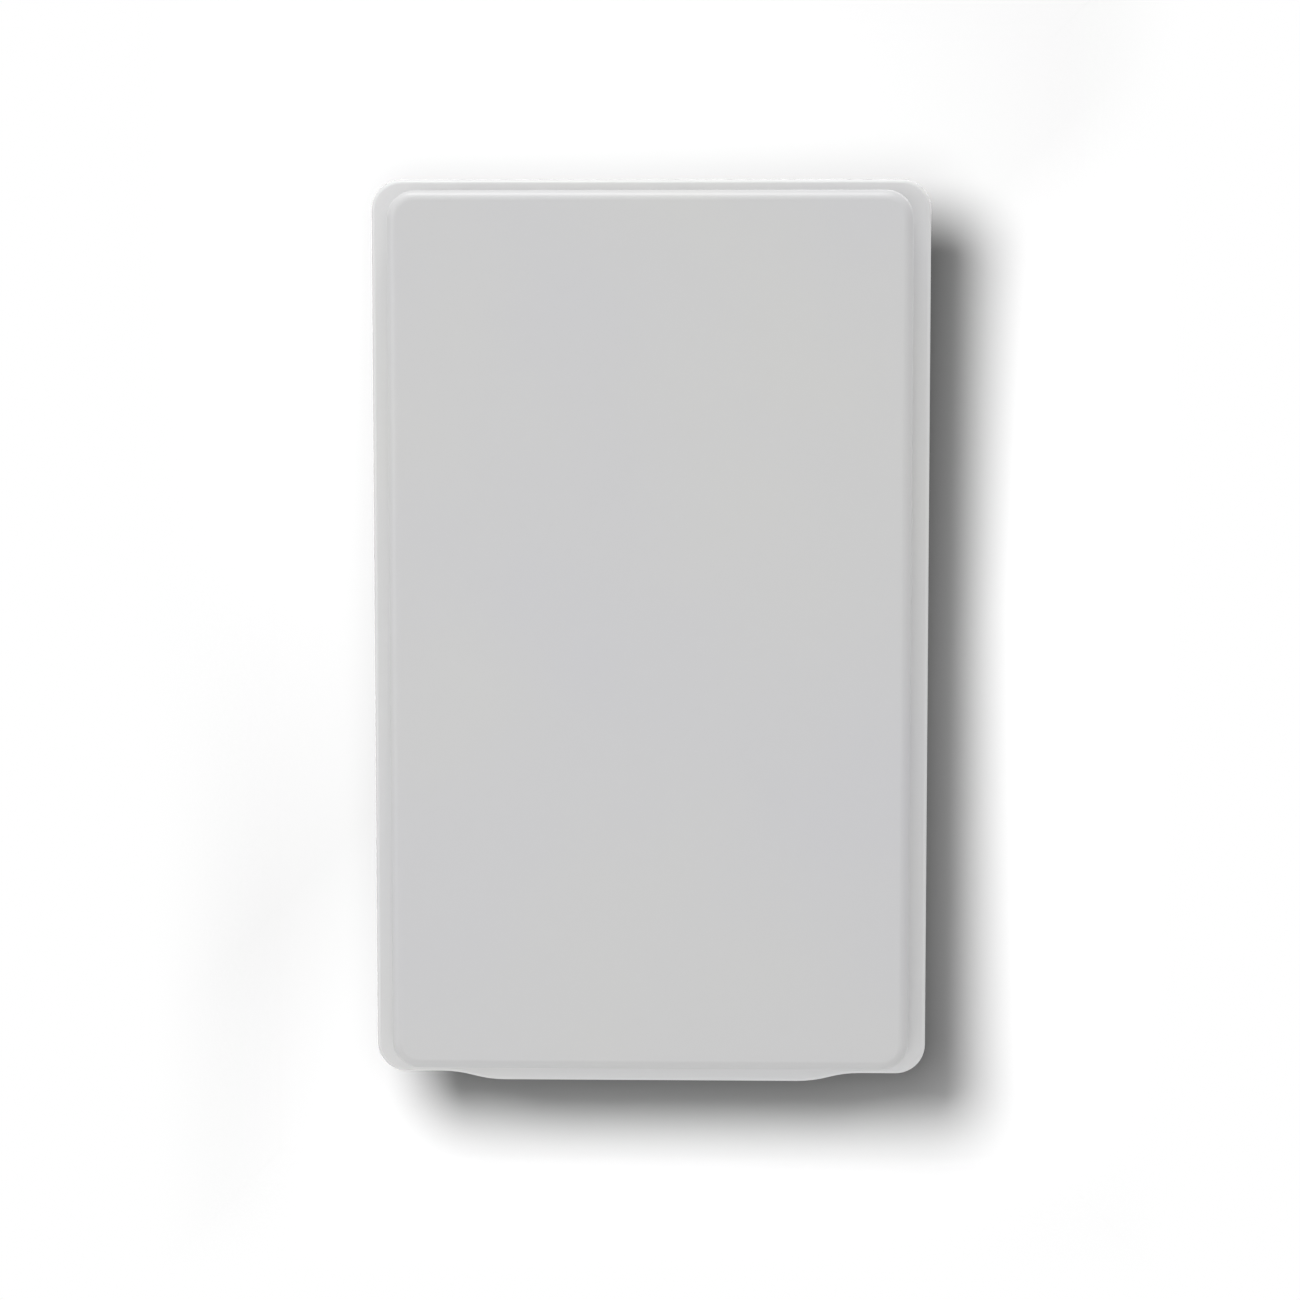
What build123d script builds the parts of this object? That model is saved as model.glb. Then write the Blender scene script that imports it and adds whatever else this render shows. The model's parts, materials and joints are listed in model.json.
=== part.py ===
"""Flat panel antenna on a tilting wall bracket, built as separate pieces.

Frame: +Z is up, the radome faces -Y, and the origin is on the wall face at the middle of the four
wall holes.  Plane.XZ looks out of the wall, so Plane.XZ.offset(s) is the plane s mm in front of the
wall.  Every "station" below is such a distance, counted from the wall towards the radome.
"""

import os
from math import atan2, cos, degrees, radians, sin

from build123d import *

# ---------------------------------------------------------------- driving dimensions, mm
# Overall sizes
PANEL_W = 131.0  # across the rim
PANEL_H = 212.0  # up the rim, without the drip lip
BODY_DEPTH = 26.0  # from the back of the rear housing to the front of the radome
STAND_OFF = 64.5  # from the wall to the back of the rear housing

# Radome and rim
RADOME_WALL = 2.5
FRONT_FILLET = 2.5
COVER_CORNER = 6.5
RIM_SIDE = 4.5  # how far the rim stands out past each side of the radome
RIM_END = 2.8  # the same at its top and bottom
RIM_THICK = 3.2
RIM_SET_BACK = 10.7  # from the front of the radome to the front of the rim
RIM_CORNER = 7.0
RIM_EDGE = 1.0
LIP_LENGTH = 100.0  # drip lip under the rim, with its two S-shaped ends
LIP_END = 15.0
LIP_DROP = 2.0

# Seal between radome and rear housing
SEAL_DEPTH = 2.3
SEAL_THICK = 0.8
SEAL_SIDE = 0.25
SEAL_LAND = 1.8

# Rear housing
TRAY_INSET = 1.2  # from the outside of the radome to the outside of the tray at the rim
TRAY_TAPER = 3.0
TRAY_EDGE = 2.5
FLOOR_THICK = 2.5
PAD_HEIGHT = 4.0
PAD_WALL = 3.0
RIB_WIDTH = 1.6
RIB_HEIGHT = 1.6
RIB_MARGIN = 22.0
ARROW_LENGTH = 16.0
ARROW_WIDTH = 11.0
ARROW_RISE = 0.5

# Screws that hold the radome: driven from the back into bosses moulded in it
COVER_SCREW_R = 1.5
COVER_HEAD_RIM = 1.5
COVER_HEAD_H = 2.0
COVER_HEAD_SUNK = 0.4
COVER_SCREW_LENGTH = 12.0
BOSS_WALL = 2.0
BOSS_CLEAR = 0.5
BOSS_PAD_H = 1.5
BOSS_GAP = 0.1
BOSS_ROWS = 4

# Radiating stack
REFLECTOR_GAP = 4.0  # behind the reflector, for the pigtail
REFLECTOR_T = 1.5
REFLECTOR_LIP = 6.0
REFLECTOR_CLEAR = 0.6
SHEET_T = 0.8
DRIVEN_SIDE = 54.0
DRIVEN_RISE = 5.4
DIRECTOR_R = 23.0
DIRECTOR_RISE = 4.6
PATCH_PITCH = 94.0
FEED_INSET = 11.0  # feed pin from the inner edge of its driven patch
SPACER_WALL = 1.85
POST_SCREW_R = 1.5
POST_HEAD_RIM = 1.25
POST_HEAD_H = 1.8
NUT_H = 2.4

# Feed board
BOARD_W = 26.0
BOARD_T = 1.6
BOARD_MARGIN = 8.0
TRACE_T = 0.15
TRACE_W = 2.4
TRANSFORMER_W = 4.6
FEED_PIN_R = 0.6
LAUNCH_PIN_R = 0.45
LAUNCH_BUSH_R = 1.7
RIVET_R = 1.5
RIVET_HEAD_RIM = 1.25
RIVET_HEAD_H = 1.0

# Pigtail and its fittings
PIGTAIL_R = 1.3
PIGTAIL_BEND = 8.2
CLIP_LENGTH = 5.0
CLIP_WIDTH = 8.0
CLIP_TOP = -14.0
CLIP_PITCH = 12.0
BLOCK_WIDTH = 8.0
BLOCK_LENGTH = 11.0

# Jack housing on the back and the threaded radio jack under it
JACK_STAND = 13.5  # from the housing's back to the jack's axis
JACK_ROOM = 1.5  # round the jack's flange, inside its housing
JACK_BOX_TOP = -32.0
JACK_BOX_H = 36.0
JACK_BOX_WALL = 2.5
JACK_BOX_EDGE = 3.0
JACK_THREAD_R = 7.94
JACK_THREAD_LENGTH = 11.6
JACK_RELIEF = 0.8  # length of the groove between the nut and the plug's thread
JACK_TIP_CHAMFER = 0.8
JACK_FLANGE_RIM = 1.56
JACK_FLANGE_T = 2.0
JACK_STUB_R = 4.5
JACK_STUB_LENGTH = 8.0
JACK_BORE_R = 4.8
JACK_BORE_DEPTH = 9.5
JACK_NUT_WALL = 1.56
JACK_NUT_H = 3.0
JACK_WASHER_T = 1.0
CONTACT_R = 1.6
CONTACT_BORE_R = 0.85

# Breather vent in the back
VENT_R = 5.0
VENT_HEAD_R = 7.0
VENT_HEAD_H = 2.6
VENT_X = 44.0
VENT_HEIGHT = -66.0

# Brackets
BRACKET_T = 2.5
BEND_R = 2.0
WALL_PLATE_H = 92.0
WALL_HOLE_X = 36.0
WALL_HOLE_Z = 70.0
WALL_HOLE_R = 3.25
PIVOT_STATION = 42.0
PIVOT_HEIGHT = 8.0
LOCK_RADIUS = 18.0
WALL_EAR_OUTER = 31.5  # outer face of each wall ear, from the middle
WALL_EAR_TIP_R = 10.0
LOCK_TIP_R = 8.0
PANEL_EAR_MARGIN = 5.0
PANEL_PLATE_H = 56.0
PANEL_SCREW_X = 44.0
PANEL_SCREW_Z = 40.0
TILT_LIMIT = 20.0  # degrees each way
TICK_STEP = 10.0
TICK_DEPTH = 0.3

# Bracket fasteners
PIVOT_R = 3.0
PIVOT_CLEAR = 0.1
FRICTION_T = 1.0
FRICTION_WIDTH = 5.0
FACE_GAP = 0.1  # between a turning ear and the washers beside it
WASHER_T = 1.2
WASHER_WIDTH = 3.2
FLANGE_NUT_H = 6.0
FLANGE_NUT_WALL = 2.0
BOLT_HEAD_RIM = 3.5
BOLT_HEAD_H = 3.3
BOLT_NECK_EXTRA = 0.1
BOLT_PAST_NUT = 1.8
INSERT_WALL = 0.95
INSERT_LENGTH = 6.0
PANEL_SCREW_R = 2.5
PANEL_WASHER_WIDTH = 2.5
PANEL_WASHER_T = 1.0
PANEL_HEAD_RIM = 1.5
PANEL_HEAD_H = 3.5
THREAD_CLEAR = 0.05

# ---------------------------------------------------------------- sizes that follow
COVER_HEAD_R = COVER_SCREW_R + COVER_HEAD_RIM
BOSS_R = COVER_SCREW_R + BOSS_WALL
POST_HOLE_R = POST_SCREW_R + 2 * THREAD_CLEAR
SPACER_R = POST_HOLE_R + SPACER_WALL
POST_HEAD_R = POST_SCREW_R + POST_HEAD_RIM
RIVET_HEAD_R = RIVET_R + RIVET_HEAD_RIM
JACK_FLANGE_R = JACK_THREAD_R + JACK_FLANGE_RIM
JACK_NUT_R = JACK_THREAD_R + JACK_NUT_WALL
FRICTION_R = PIVOT_R + FRICTION_WIDTH
WASHER_R = PIVOT_R + WASHER_WIDTH
FLANGE_NUT_R = PIVOT_R + FLANGE_NUT_WALL
BOLT_HEAD_R = PIVOT_R + BOLT_HEAD_RIM
BOLT_NECK = 2 * PIVOT_R + BOLT_NECK_EXTRA
INSERT_BORE_R = PANEL_SCREW_R + THREAD_CLEAR
INSERT_R = INSERT_BORE_R + INSERT_WALL
PAD_RADIUS = INSERT_R + PAD_WALL
PANEL_WASHER_R = PANEL_SCREW_R + PANEL_WASHER_WIDTH
PANEL_HEAD_R = PANEL_SCREW_R + PANEL_HEAD_RIM

BACK = STAND_OFF
FRONT = BACK + BODY_DEPTH
RIM_FRONT = FRONT - RIM_SET_BACK
RIM_BACK = RIM_FRONT - RIM_THICK
GROOVE_FLOOR = RIM_FRONT - SEAL_DEPTH
COVER_BACK = GROOVE_FLOOR + SEAL_THICK
INNER_FRONT = FRONT - RADOME_WALL
FLOOR_FRONT = BACK + FLOOR_THICK

COVER_W = PANEL_W - 2 * RIM_SIDE
COVER_H = PANEL_H - 2 * RIM_END
GROOVE_INSET = RADOME_WALL + SEAL_SIDE
CAVITY_INSET = GROOVE_INSET + SEAL_LAND
CAVITY_W = COVER_W - 2 * CAVITY_INSET
CAVITY_H = COVER_H - 2 * CAVITY_INSET
CAVITY_CORNER = max(COVER_CORNER - CAVITY_INSET, 1.0)

BOSS_X = CAVITY_W / 2 - BOSS_CLEAR - BOSS_R
BOSS_Z = CAVITY_H / 2 - BOSS_CLEAR - BOSS_R
BOSS_PITCH = 2 * BOSS_Z / (BOSS_ROWS - 1)
BOSS_BACK = FLOOR_FRONT + BOSS_PAD_H + BOSS_GAP
COVER_SEAT = BACK + COVER_HEAD_H + COVER_HEAD_SUNK
COVER_SCREW_TIP = COVER_SEAT + COVER_SCREW_LENGTH

REFLECTOR_BACK = FLOOR_FRONT + REFLECTOR_GAP
REFLECTOR_FRONT = REFLECTOR_BACK + REFLECTOR_T
REFLECTOR_W = 2 * (BOSS_X - BOSS_R - REFLECTOR_CLEAR)
REFLECTOR_H = CAVITY_H - 2 * REFLECTOR_CLEAR
REFLECTOR_SCREW_X = REFLECTOR_W - 18.0
REFLECTOR_SCREW_Z = (REFLECTOR_H - 20.0) / 2
DRIVEN_BACK = REFLECTOR_FRONT + DRIVEN_RISE
DRIVEN_FRONT = DRIVEN_BACK + SHEET_T
DIRECTOR_BACK = DRIVEN_FRONT + DIRECTOR_RISE
DIRECTOR_FRONT = DIRECTOR_BACK + SHEET_T
PATCH_Z = PATCH_PITCH / 2
FEED_Z = PATCH_Z - DRIVEN_SIDE / 2 + FEED_INSET
BOARD_FRONT = REFLECTOR_FRONT + BOARD_T
TRACE_FRONT = BOARD_FRONT + TRACE_T
BOARD_H = 2 * (FEED_Z + BOARD_MARGIN)
RIVET_X = BOARD_W - 8.0
RIVET_Z = FEED_Z

GAP_STATION = FLOOR_FRONT + REFLECTOR_GAP / 2
JACK_STATION = BACK - JACK_STAND
JACK_BOX_W = 2 * (JACK_FLANGE_R + JACK_ROOM + JACK_BOX_WALL)
JACK_BOX_DEPTH = JACK_STAND + JACK_BOX_W / 2
JACK_BOX_BOTTOM = JACK_BOX_TOP - JACK_BOX_H
JACK_SEAT = JACK_BOX_BOTTOM + JACK_BOX_WALL  # inside face of the wall that carries the jack
JACK_SEAL_T = SEAL_THICK
JACK_FLANGE_TOP = JACK_SEAT + JACK_SEAL_T + JACK_FLANGE_T
JACK_STUB_TOP = JACK_FLANGE_TOP + JACK_STUB_LENGTH
JACK_NUT_TOP = JACK_BOX_BOTTOM - JACK_WASHER_T
JACK_NUT_BOTTOM = JACK_NUT_TOP - JACK_NUT_H
JACK_TIP = JACK_NUT_BOTTOM - JACK_THREAD_LENGTH
BLOCK_BACK = FLOOR_FRONT + 0.3

PANEL_PLATE_FRONT = BACK - PAD_HEIGHT
PANEL_PLATE_BACK = PANEL_PLATE_FRONT - BRACKET_T
LOCK_HEIGHT = PIVOT_HEIGHT - LOCK_RADIUS
WALL_EAR_INNER = WALL_EAR_OUTER - BRACKET_T
PANEL_EAR_INNER = WALL_EAR_OUTER + FRICTION_T + FACE_GAP
PANEL_EAR_OUTER = PANEL_EAR_INNER + BRACKET_T
WASHER_INNER = PANEL_EAR_OUTER + FACE_GAP
NUT_INNER = WASHER_INNER + WASHER_T
BOLT_END = NUT_INNER + FLANGE_NUT_H + BOLT_PAST_NUT
PIVOT_HOLE_R = PIVOT_R + PIVOT_CLEAR
SLOT_HALF_ANGLE = TILT_LIMIT + degrees(PIVOT_CLEAR / LOCK_RADIUS)

BOSS_SPOTS = GridLocations(2 * BOSS_X, BOSS_PITCH, 2, BOSS_ROWS)
REFLECTOR_SPOTS = GridLocations(REFLECTOR_SCREW_X, REFLECTOR_SCREW_Z, 2, 3)
PATCH_SPOTS = Locations((0, -PATCH_Z), (0, PATCH_Z))
FEED_SPOTS = Locations((0, -FEED_Z), (0, FEED_Z))
RIVET_SPOTS = GridLocations(RIVET_X, RIVET_Z, 2, 2)
PAD_SPOTS = GridLocations(PANEL_SCREW_X, PANEL_SCREW_Z, 2, 2)
WALL_SPOTS = GridLocations(WALL_HOLE_X, WALL_HOLE_Z, 2, 2)
BOLT_SPOTS = Locations((-PIVOT_STATION, PIVOT_HEIGHT), (-PIVOT_STATION, LOCK_HEIGHT))

BODIES = {"wall_bracket": [], "antenna": []}


def station(s):
    """The plane s mm in front of the wall, with local X to the right and local Y up."""
    return Plane.XZ.offset(s)


def side(x):
    """The plane at x, seen from the right: local X runs along +Y and local Y up."""
    return Plane.YZ.offset(x)


def level(z):
    """The plane at height z through the jack's axis."""
    return Plane.XY.offset(z).shift_origin((0, -JACK_STATION, z))


def finish(part, name, body):
    """Labels a finished piece and writes its file."""
    part.label = name
    export_step(part, f"parts/{name}.step")
    BODIES[body].append(name)


# ---------------------------------------------------------------- radome
os.makedirs("parts", exist_ok=True)

with BuildPart() as radome:
    with BuildSketch(station(COVER_BACK)):
        RectangleRounded(COVER_W, COVER_H, COVER_CORNER)
    extrude(amount=FRONT - COVER_BACK)
    fillet(radome.faces().sort_by(Axis.Y)[0].edges(), FRONT_FILLET)
    with BuildSketch(station(COVER_BACK)):
        RectangleRounded(
            COVER_W - 2 * RADOME_WALL,
            COVER_H - 2 * RADOME_WALL,
            max(COVER_CORNER - RADOME_WALL, 1.0),
        )
    extrude(amount=INNER_FRONT - COVER_BACK, mode=Mode.SUBTRACT)
    # screw bosses, each tied to the side wall by a short rib above the rear housing's land
    with BuildSketch(station(BOSS_BACK)):
        with BOSS_SPOTS:
            Circle(BOSS_R)
    extrude(amount=INNER_FRONT - BOSS_BACK)
    rib_reach = COVER_W / 2 - RADOME_WALL / 2 - BOSS_X
    with BuildSketch(station(RIM_FRONT + BOSS_GAP)):
        with GridLocations(2 * BOSS_X + rib_reach, BOSS_PITCH, 2, BOSS_ROWS):
            Rectangle(rib_reach, RIB_WIDTH)
    extrude(amount=INNER_FRONT - RIM_FRONT - BOSS_GAP)
    with BuildSketch(station(BOSS_BACK)):
        with BOSS_SPOTS:
            Circle(COVER_SCREW_R + THREAD_CLEAR)
    extrude(amount=COVER_SCREW_TIP + 1.0 - BOSS_BACK, mode=Mode.SUBTRACT)
finish(radome.part, "radome", "antenna")

# ---------------------------------------------------------------- rear housing
with BuildPart() as rear_housing:
    # rim, with the drip lip along its lower edge
    with BuildSketch(station(RIM_BACK)):
        RectangleRounded(PANEL_W, PANEL_H, RIM_CORNER)
        with BuildLine():
            low = -PANEL_H / 2
            end, start = LIP_LENGTH / 2, LIP_LENGTH / 2 - LIP_END
            outer = TangentArc((end, low), (end - LIP_END / 2, low - LIP_DROP / 2), tangent=(-1, 0))
            inner = TangentArc(outer @ 1, (start, low - LIP_DROP), tangent=outer % 1)
            bottom = Line(inner @ 1, (-start, low - LIP_DROP))
            back_in = TangentArc(bottom @ 1, (-end + LIP_END / 2, low - LIP_DROP / 2), tangent=(-1, 0))
            back_out = TangentArc(back_in @ 1, (-end, low), tangent=back_in % 1)
            Polyline(back_out @ 1, (-end, low + LIP_END), (end, low + LIP_END), outer @ 0)
        make_face()
    extrude(amount=RIM_THICK)
    fillet(rear_housing.faces().sort_by(Axis.Y)[0].edges(), RIM_EDGE)
    fillet(rear_housing.faces().sort_by(Axis.Y)[-1].edges(), RIM_EDGE)
    # tapered tray behind the rim
    with BuildSketch(station(RIM_BACK)):
        RectangleRounded(COVER_W - 2 * TRAY_INSET, COVER_H - 2 * TRAY_INSET, COVER_CORNER)
    extrude(amount=-(RIM_BACK - BACK), taper=TRAY_TAPER)
    fillet(rear_housing.faces().sort_by(Axis.Y)[-1].edges(), TRAY_EDGE)
    # jack housing, pads, ribs and the arrow that points up
    with BuildSketch(station(BACK + FLOOR_THICK)):
        with Locations((0, JACK_BOX_TOP - JACK_BOX_H / 2)):
            Rectangle(JACK_BOX_W, JACK_BOX_H)
    extrude(amount=-(JACK_BOX_DEPTH + FLOOR_THICK))
    fillet(rear_housing.faces().sort_by(Axis.Y)[-1].edges(), JACK_BOX_EDGE)
    box_edges = [
        e for e in rear_housing.edges().filter_by(Axis.Y)
        if abs(e.center().X) > JACK_BOX_W / 2 - 0.01 and e.center().Y > -BACK
    ]
    fillet(box_edges, JACK_BOX_EDGE - 0.5)
    with BuildSketch(station(BACK)):
        with PAD_SPOTS:
            Circle(PAD_RADIUS)
    extrude(amount=-PAD_HEIGHT)
    with BuildSketch(station(BACK)):
        rib_x = PANEL_SCREW_X + 2 * PAD_RADIUS + 2 * RIB_WIDTH
        rib_z = CAVITY_H - RIB_MARGIN
        with GridLocations(rib_x, 0, 2, 1):
            Rectangle(RIB_WIDTH, rib_z)
        with Locations((0, -rib_z / 2), (0, PANEL_PLATE_H / 2 + PAD_RADIUS), (0, rib_z / 2)):
            Rectangle(rib_x + RIB_WIDTH, RIB_WIDTH)
    extrude(amount=-RIB_HEIGHT)
    with BuildSketch(station(BACK)):
        with Locations((0, (CAVITY_H - RIB_MARGIN) / 2 - ARROW_LENGTH)):
            Polygon(
                (0, ARROW_LENGTH / 2),
                (-ARROW_WIDTH / 2, ARROW_LENGTH / 2 - ARROW_WIDTH * 0.7),
                (-ARROW_WIDTH / 6, ARROW_LENGTH / 2 - ARROW_WIDTH * 0.7),
                (-ARROW_WIDTH / 6, -ARROW_LENGTH / 2),
                (ARROW_WIDTH / 6, -ARROW_LENGTH / 2),
                (ARROW_WIDTH / 6, ARROW_LENGTH / 2 - ARROW_WIDTH * 0.7),
                (ARROW_WIDTH / 2, ARROW_LENGTH / 2 - ARROW_WIDTH * 0.7),
                align=None,
            )
    extrude(amount=-ARROW_RISE)
    # inside: the cavity, then the pads and posts that stand on its floor
    with BuildSketch(station(FLOOR_FRONT)):
        RectangleRounded(CAVITY_W, CAVITY_H, CAVITY_CORNER)
    extrude(amount=RIM_FRONT - FLOOR_FRONT, mode=Mode.SUBTRACT)
    with BuildSketch(station(FLOOR_FRONT)):
        with BOSS_SPOTS:
            Circle(BOSS_R)
    extrude(amount=BOSS_PAD_H)
    with BuildSketch(station(FLOOR_FRONT)):
        with REFLECTOR_SPOTS:
            Circle(BOSS_R)
    extrude(amount=REFLECTOR_GAP)
    # groove for the seal and the radome's edge
    with BuildSketch(station(GROOVE_FLOOR)):
        RectangleRounded(COVER_W + 2 * SEAL_SIDE, COVER_H + 2 * SEAL_SIDE, COVER_CORNER + SEAL_SIDE)
        RectangleRounded(
            COVER_W - 2 * GROOVE_INSET,
            COVER_H - 2 * GROOVE_INSET,
            max(COVER_CORNER - GROOVE_INSET, 1.0),
            mode=Mode.SUBTRACT,
        )
    extrude(amount=SEAL_DEPTH, mode=Mode.SUBTRACT)
    # inside of the jack housing, and the hole for the jack
    with BuildSketch(station(FLOOR_FRONT)):
        with Locations((0, JACK_BOX_TOP - JACK_BOX_H / 2)):
            Rectangle(JACK_BOX_W - 2 * JACK_BOX_WALL, JACK_BOX_H - 2 * JACK_BOX_WALL)
    extrude(amount=-(FLOOR_THICK + JACK_BOX_DEPTH - JACK_BOX_WALL), mode=Mode.SUBTRACT)
    with BuildSketch(level(JACK_BOX_BOTTOM)):
        Circle(JACK_THREAD_R + THREAD_CLEAR)
    extrude(amount=JACK_BOX_WALL, mode=Mode.SUBTRACT)
    # holes for the radome's screws, the reflector's screws, the inserts and the vent
    with BuildSketch(station(BACK)):
        with BOSS_SPOTS:
            Circle(COVER_SCREW_R + 2 * THREAD_CLEAR)
    extrude(amount=FLOOR_THICK + BOSS_PAD_H, mode=Mode.SUBTRACT)
    with BuildSketch(station(BACK)):
        with BOSS_SPOTS:
            Circle(COVER_HEAD_R + BOSS_CLEAR)
    extrude(amount=COVER_SEAT - BACK, mode=Mode.SUBTRACT)
    with BuildSketch(station(REFLECTOR_BACK)):
        with REFLECTOR_SPOTS:
            Circle(COVER_SCREW_R + THREAD_CLEAR)
    extrude(amount=-(REFLECTOR_GAP + FLOOR_THICK / 2), mode=Mode.SUBTRACT)
    with BuildSketch(station(PANEL_PLATE_FRONT)):
        with PAD_SPOTS:
            Circle(INSERT_R)
    extrude(amount=INSERT_LENGTH, mode=Mode.SUBTRACT)
    with BuildSketch(station(BACK)):
        with Locations((VENT_X, VENT_HEIGHT)):
            Circle(VENT_R)
    extrude(amount=FLOOR_THICK, mode=Mode.SUBTRACT)
finish(rear_housing.part, "rear_housing", "antenna")

# ---------------------------------------------------------------- perimeter seal
with BuildPart() as perimeter_seal:
    with BuildSketch(station(GROOVE_FLOOR)):
        RectangleRounded(COVER_W, COVER_H, COVER_CORNER)
        RectangleRounded(
            COVER_W - 2 * RADOME_WALL,
            COVER_H - 2 * RADOME_WALL,
            max(COVER_CORNER - RADOME_WALL, 1.0),
            mode=Mode.SUBTRACT,
        )
    extrude(amount=SEAL_THICK)
finish(perimeter_seal.part, "perimeter_seal", "antenna")

# ---------------------------------------------------------------- radome screws
with BuildPart() as radome_screws:
    with BuildSketch(station(COVER_SEAT - COVER_HEAD_H)):
        with BOSS_SPOTS:
            Circle(COVER_HEAD_R)
    extrude(amount=COVER_HEAD_H)
    fillet(radome_screws.faces().group_by(Axis.Y)[-1].edges(), COVER_HEAD_H * 0.4)
    with BuildSketch(station(COVER_SEAT)):
        with BOSS_SPOTS:
            Circle(COVER_SCREW_R)
    extrude(amount=COVER_SCREW_LENGTH)
    chamfer(radome_screws.faces().group_by(Axis.Y)[0].edges(), COVER_SCREW_R * 0.5)
    with BuildSketch(station(COVER_SEAT - COVER_HEAD_H)):
        with BOSS_SPOTS:
            Rectangle(COVER_HEAD_R * 1.15, COVER_HEAD_R * 0.3)
            Rectangle(COVER_HEAD_R * 0.3, COVER_HEAD_R * 1.15)
    extrude(amount=COVER_HEAD_H * 0.6, mode=Mode.SUBTRACT)
finish(radome_screws.part, "radome_screws", "antenna")

# ---------------------------------------------------------------- reflector and its screws
with BuildPart() as reflector:
    with BuildSketch(station(REFLECTOR_BACK)):
        Rectangle(REFLECTOR_W, REFLECTOR_H)
    extrude(amount=REFLECTOR_LIP)
    with BuildSketch(station(REFLECTOR_FRONT)):
        Rectangle(REFLECTOR_W - 2 * REFLECTOR_T, REFLECTOR_H - 2 * REFLECTOR_T)
    extrude(amount=REFLECTOR_LIP, mode=Mode.SUBTRACT)
    # the blank is notched, so its folded lips stop short of the corners
    with BuildSketch(station(REFLECTOR_BACK)):
        with GridLocations(REFLECTOR_W, REFLECTOR_H, 2, 2):
            Rectangle(4 * REFLECTOR_T, 4 * REFLECTOR_T)
    extrude(amount=REFLECTOR_LIP, mode=Mode.SUBTRACT)
    with BuildSketch(station(REFLECTOR_BACK)):
        with REFLECTOR_SPOTS:
            Circle(COVER_SCREW_R + 2 * THREAD_CLEAR)
        with PATCH_SPOTS:
            Circle(POST_HOLE_R)
        with RIVET_SPOTS:
            Circle(RIVET_R)
        Circle(LAUNCH_BUSH_R)
    extrude(amount=REFLECTOR_T, mode=Mode.SUBTRACT)
finish(reflector.part, "reflector", "antenna")

with BuildPart() as reflector_screws:
    with BuildSketch(station(REFLECTOR_FRONT)):
        with REFLECTOR_SPOTS:
            Circle(COVER_HEAD_R)
    extrude(amount=COVER_HEAD_H)
    fillet(reflector_screws.faces().group_by(Axis.Y)[0].edges(), COVER_HEAD_H * 0.4)
    with BuildSketch(station(REFLECTOR_FRONT)):
        with REFLECTOR_SPOTS:
            Circle(COVER_SCREW_R)
    extrude(amount=-(REFLECTOR_T + REFLECTOR_GAP + FLOOR_THICK / 3))
finish(reflector_screws.part, "reflector_screws", "antenna")

# ---------------------------------------------------------------- feed board, its tracks and rivets
with BuildPart() as feed_board:
    with BuildSketch(station(REFLECTOR_FRONT)):
        RectangleRounded(BOARD_W, BOARD_H, 1.5)
        with RIVET_SPOTS:
            Circle(RIVET_R, mode=Mode.SUBTRACT)
        Circle(LAUNCH_BUSH_R, mode=Mode.SUBTRACT)
    extrude(amount=BOARD_T)
finish(feed_board.part, "feed_board", "antenna")

with BuildPart() as feed_tracks:
    with BuildSketch(station(BOARD_FRONT)):
        Rectangle(TRACE_W, 2 * FEED_Z)
        with Locations((0, -FEED_Z / 2), (0, FEED_Z / 2)):
            Rectangle(TRANSFORMER_W, FEED_Z * 0.55)
        Circle(TRACE_W * 1.1)
        with FEED_SPOTS:
            Circle(TRACE_W)
        Circle(LAUNCH_PIN_R + THREAD_CLEAR, mode=Mode.SUBTRACT)
    extrude(amount=TRACE_T)
finish(feed_tracks.part, "feed_tracks", "antenna")

with BuildPart() as board_rivets:
    with BuildSketch(station(BOARD_FRONT)):
        with RIVET_SPOTS:
            Circle(RIVET_HEAD_R)
    extrude(amount=RIVET_HEAD_H)
    fillet(board_rivets.faces().group_by(Axis.Y)[0].edges(), RIVET_HEAD_H * 0.6)
    with BuildSketch(station(BOARD_FRONT)):
        with RIVET_SPOTS:
            Circle(RIVET_R)
    extrude(amount=-(BOARD_T + REFLECTOR_T))
    with BuildSketch(station(REFLECTOR_BACK)):
        with RIVET_SPOTS:
            Circle(RIVET_R * 1.35)
    extrude(amount=-REFLECTOR_GAP * 0.6, taper=12)
finish(board_rivets.part, "board_rivets", "antenna")

# ---------------------------------------------------------------- two stacked patches
for name, patch_z in (("lower", -PATCH_Z), ("upper", PATCH_Z)):
    feed_z = FEED_Z if patch_z > 0 else -FEED_Z
    with BuildPart() as driven_patch:
        with BuildSketch(station(DRIVEN_BACK)):
            with Locations((0, patch_z)):
                RectangleRounded(DRIVEN_SIDE, DRIVEN_SIDE, 2.0)
                Circle(POST_HOLE_R, mode=Mode.SUBTRACT)
            with Locations((0, feed_z)):
                Circle(FEED_PIN_R + THREAD_CLEAR, mode=Mode.SUBTRACT)
        extrude(amount=SHEET_T)
    finish(driven_patch.part, f"{name}_driven_patch", "antenna")

    with BuildPart() as director_disc:
        with BuildSketch(station(DIRECTOR_BACK)):
            with Locations((0, patch_z)):
                Circle(DIRECTOR_R)
                Circle(POST_HOLE_R, mode=Mode.SUBTRACT)
        extrude(amount=SHEET_T)
    finish(director_disc.part, f"{name}_director_disc", "antenna")

with BuildPart() as patch_spacers:
    with BuildSketch(station(REFLECTOR_FRONT)):
        with PATCH_SPOTS:
            Circle(SPACER_R)
            Circle(POST_HOLE_R, mode=Mode.SUBTRACT)
    extrude(amount=DRIVEN_RISE)
finish(patch_spacers.part, "patch_spacers", "antenna")

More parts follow.
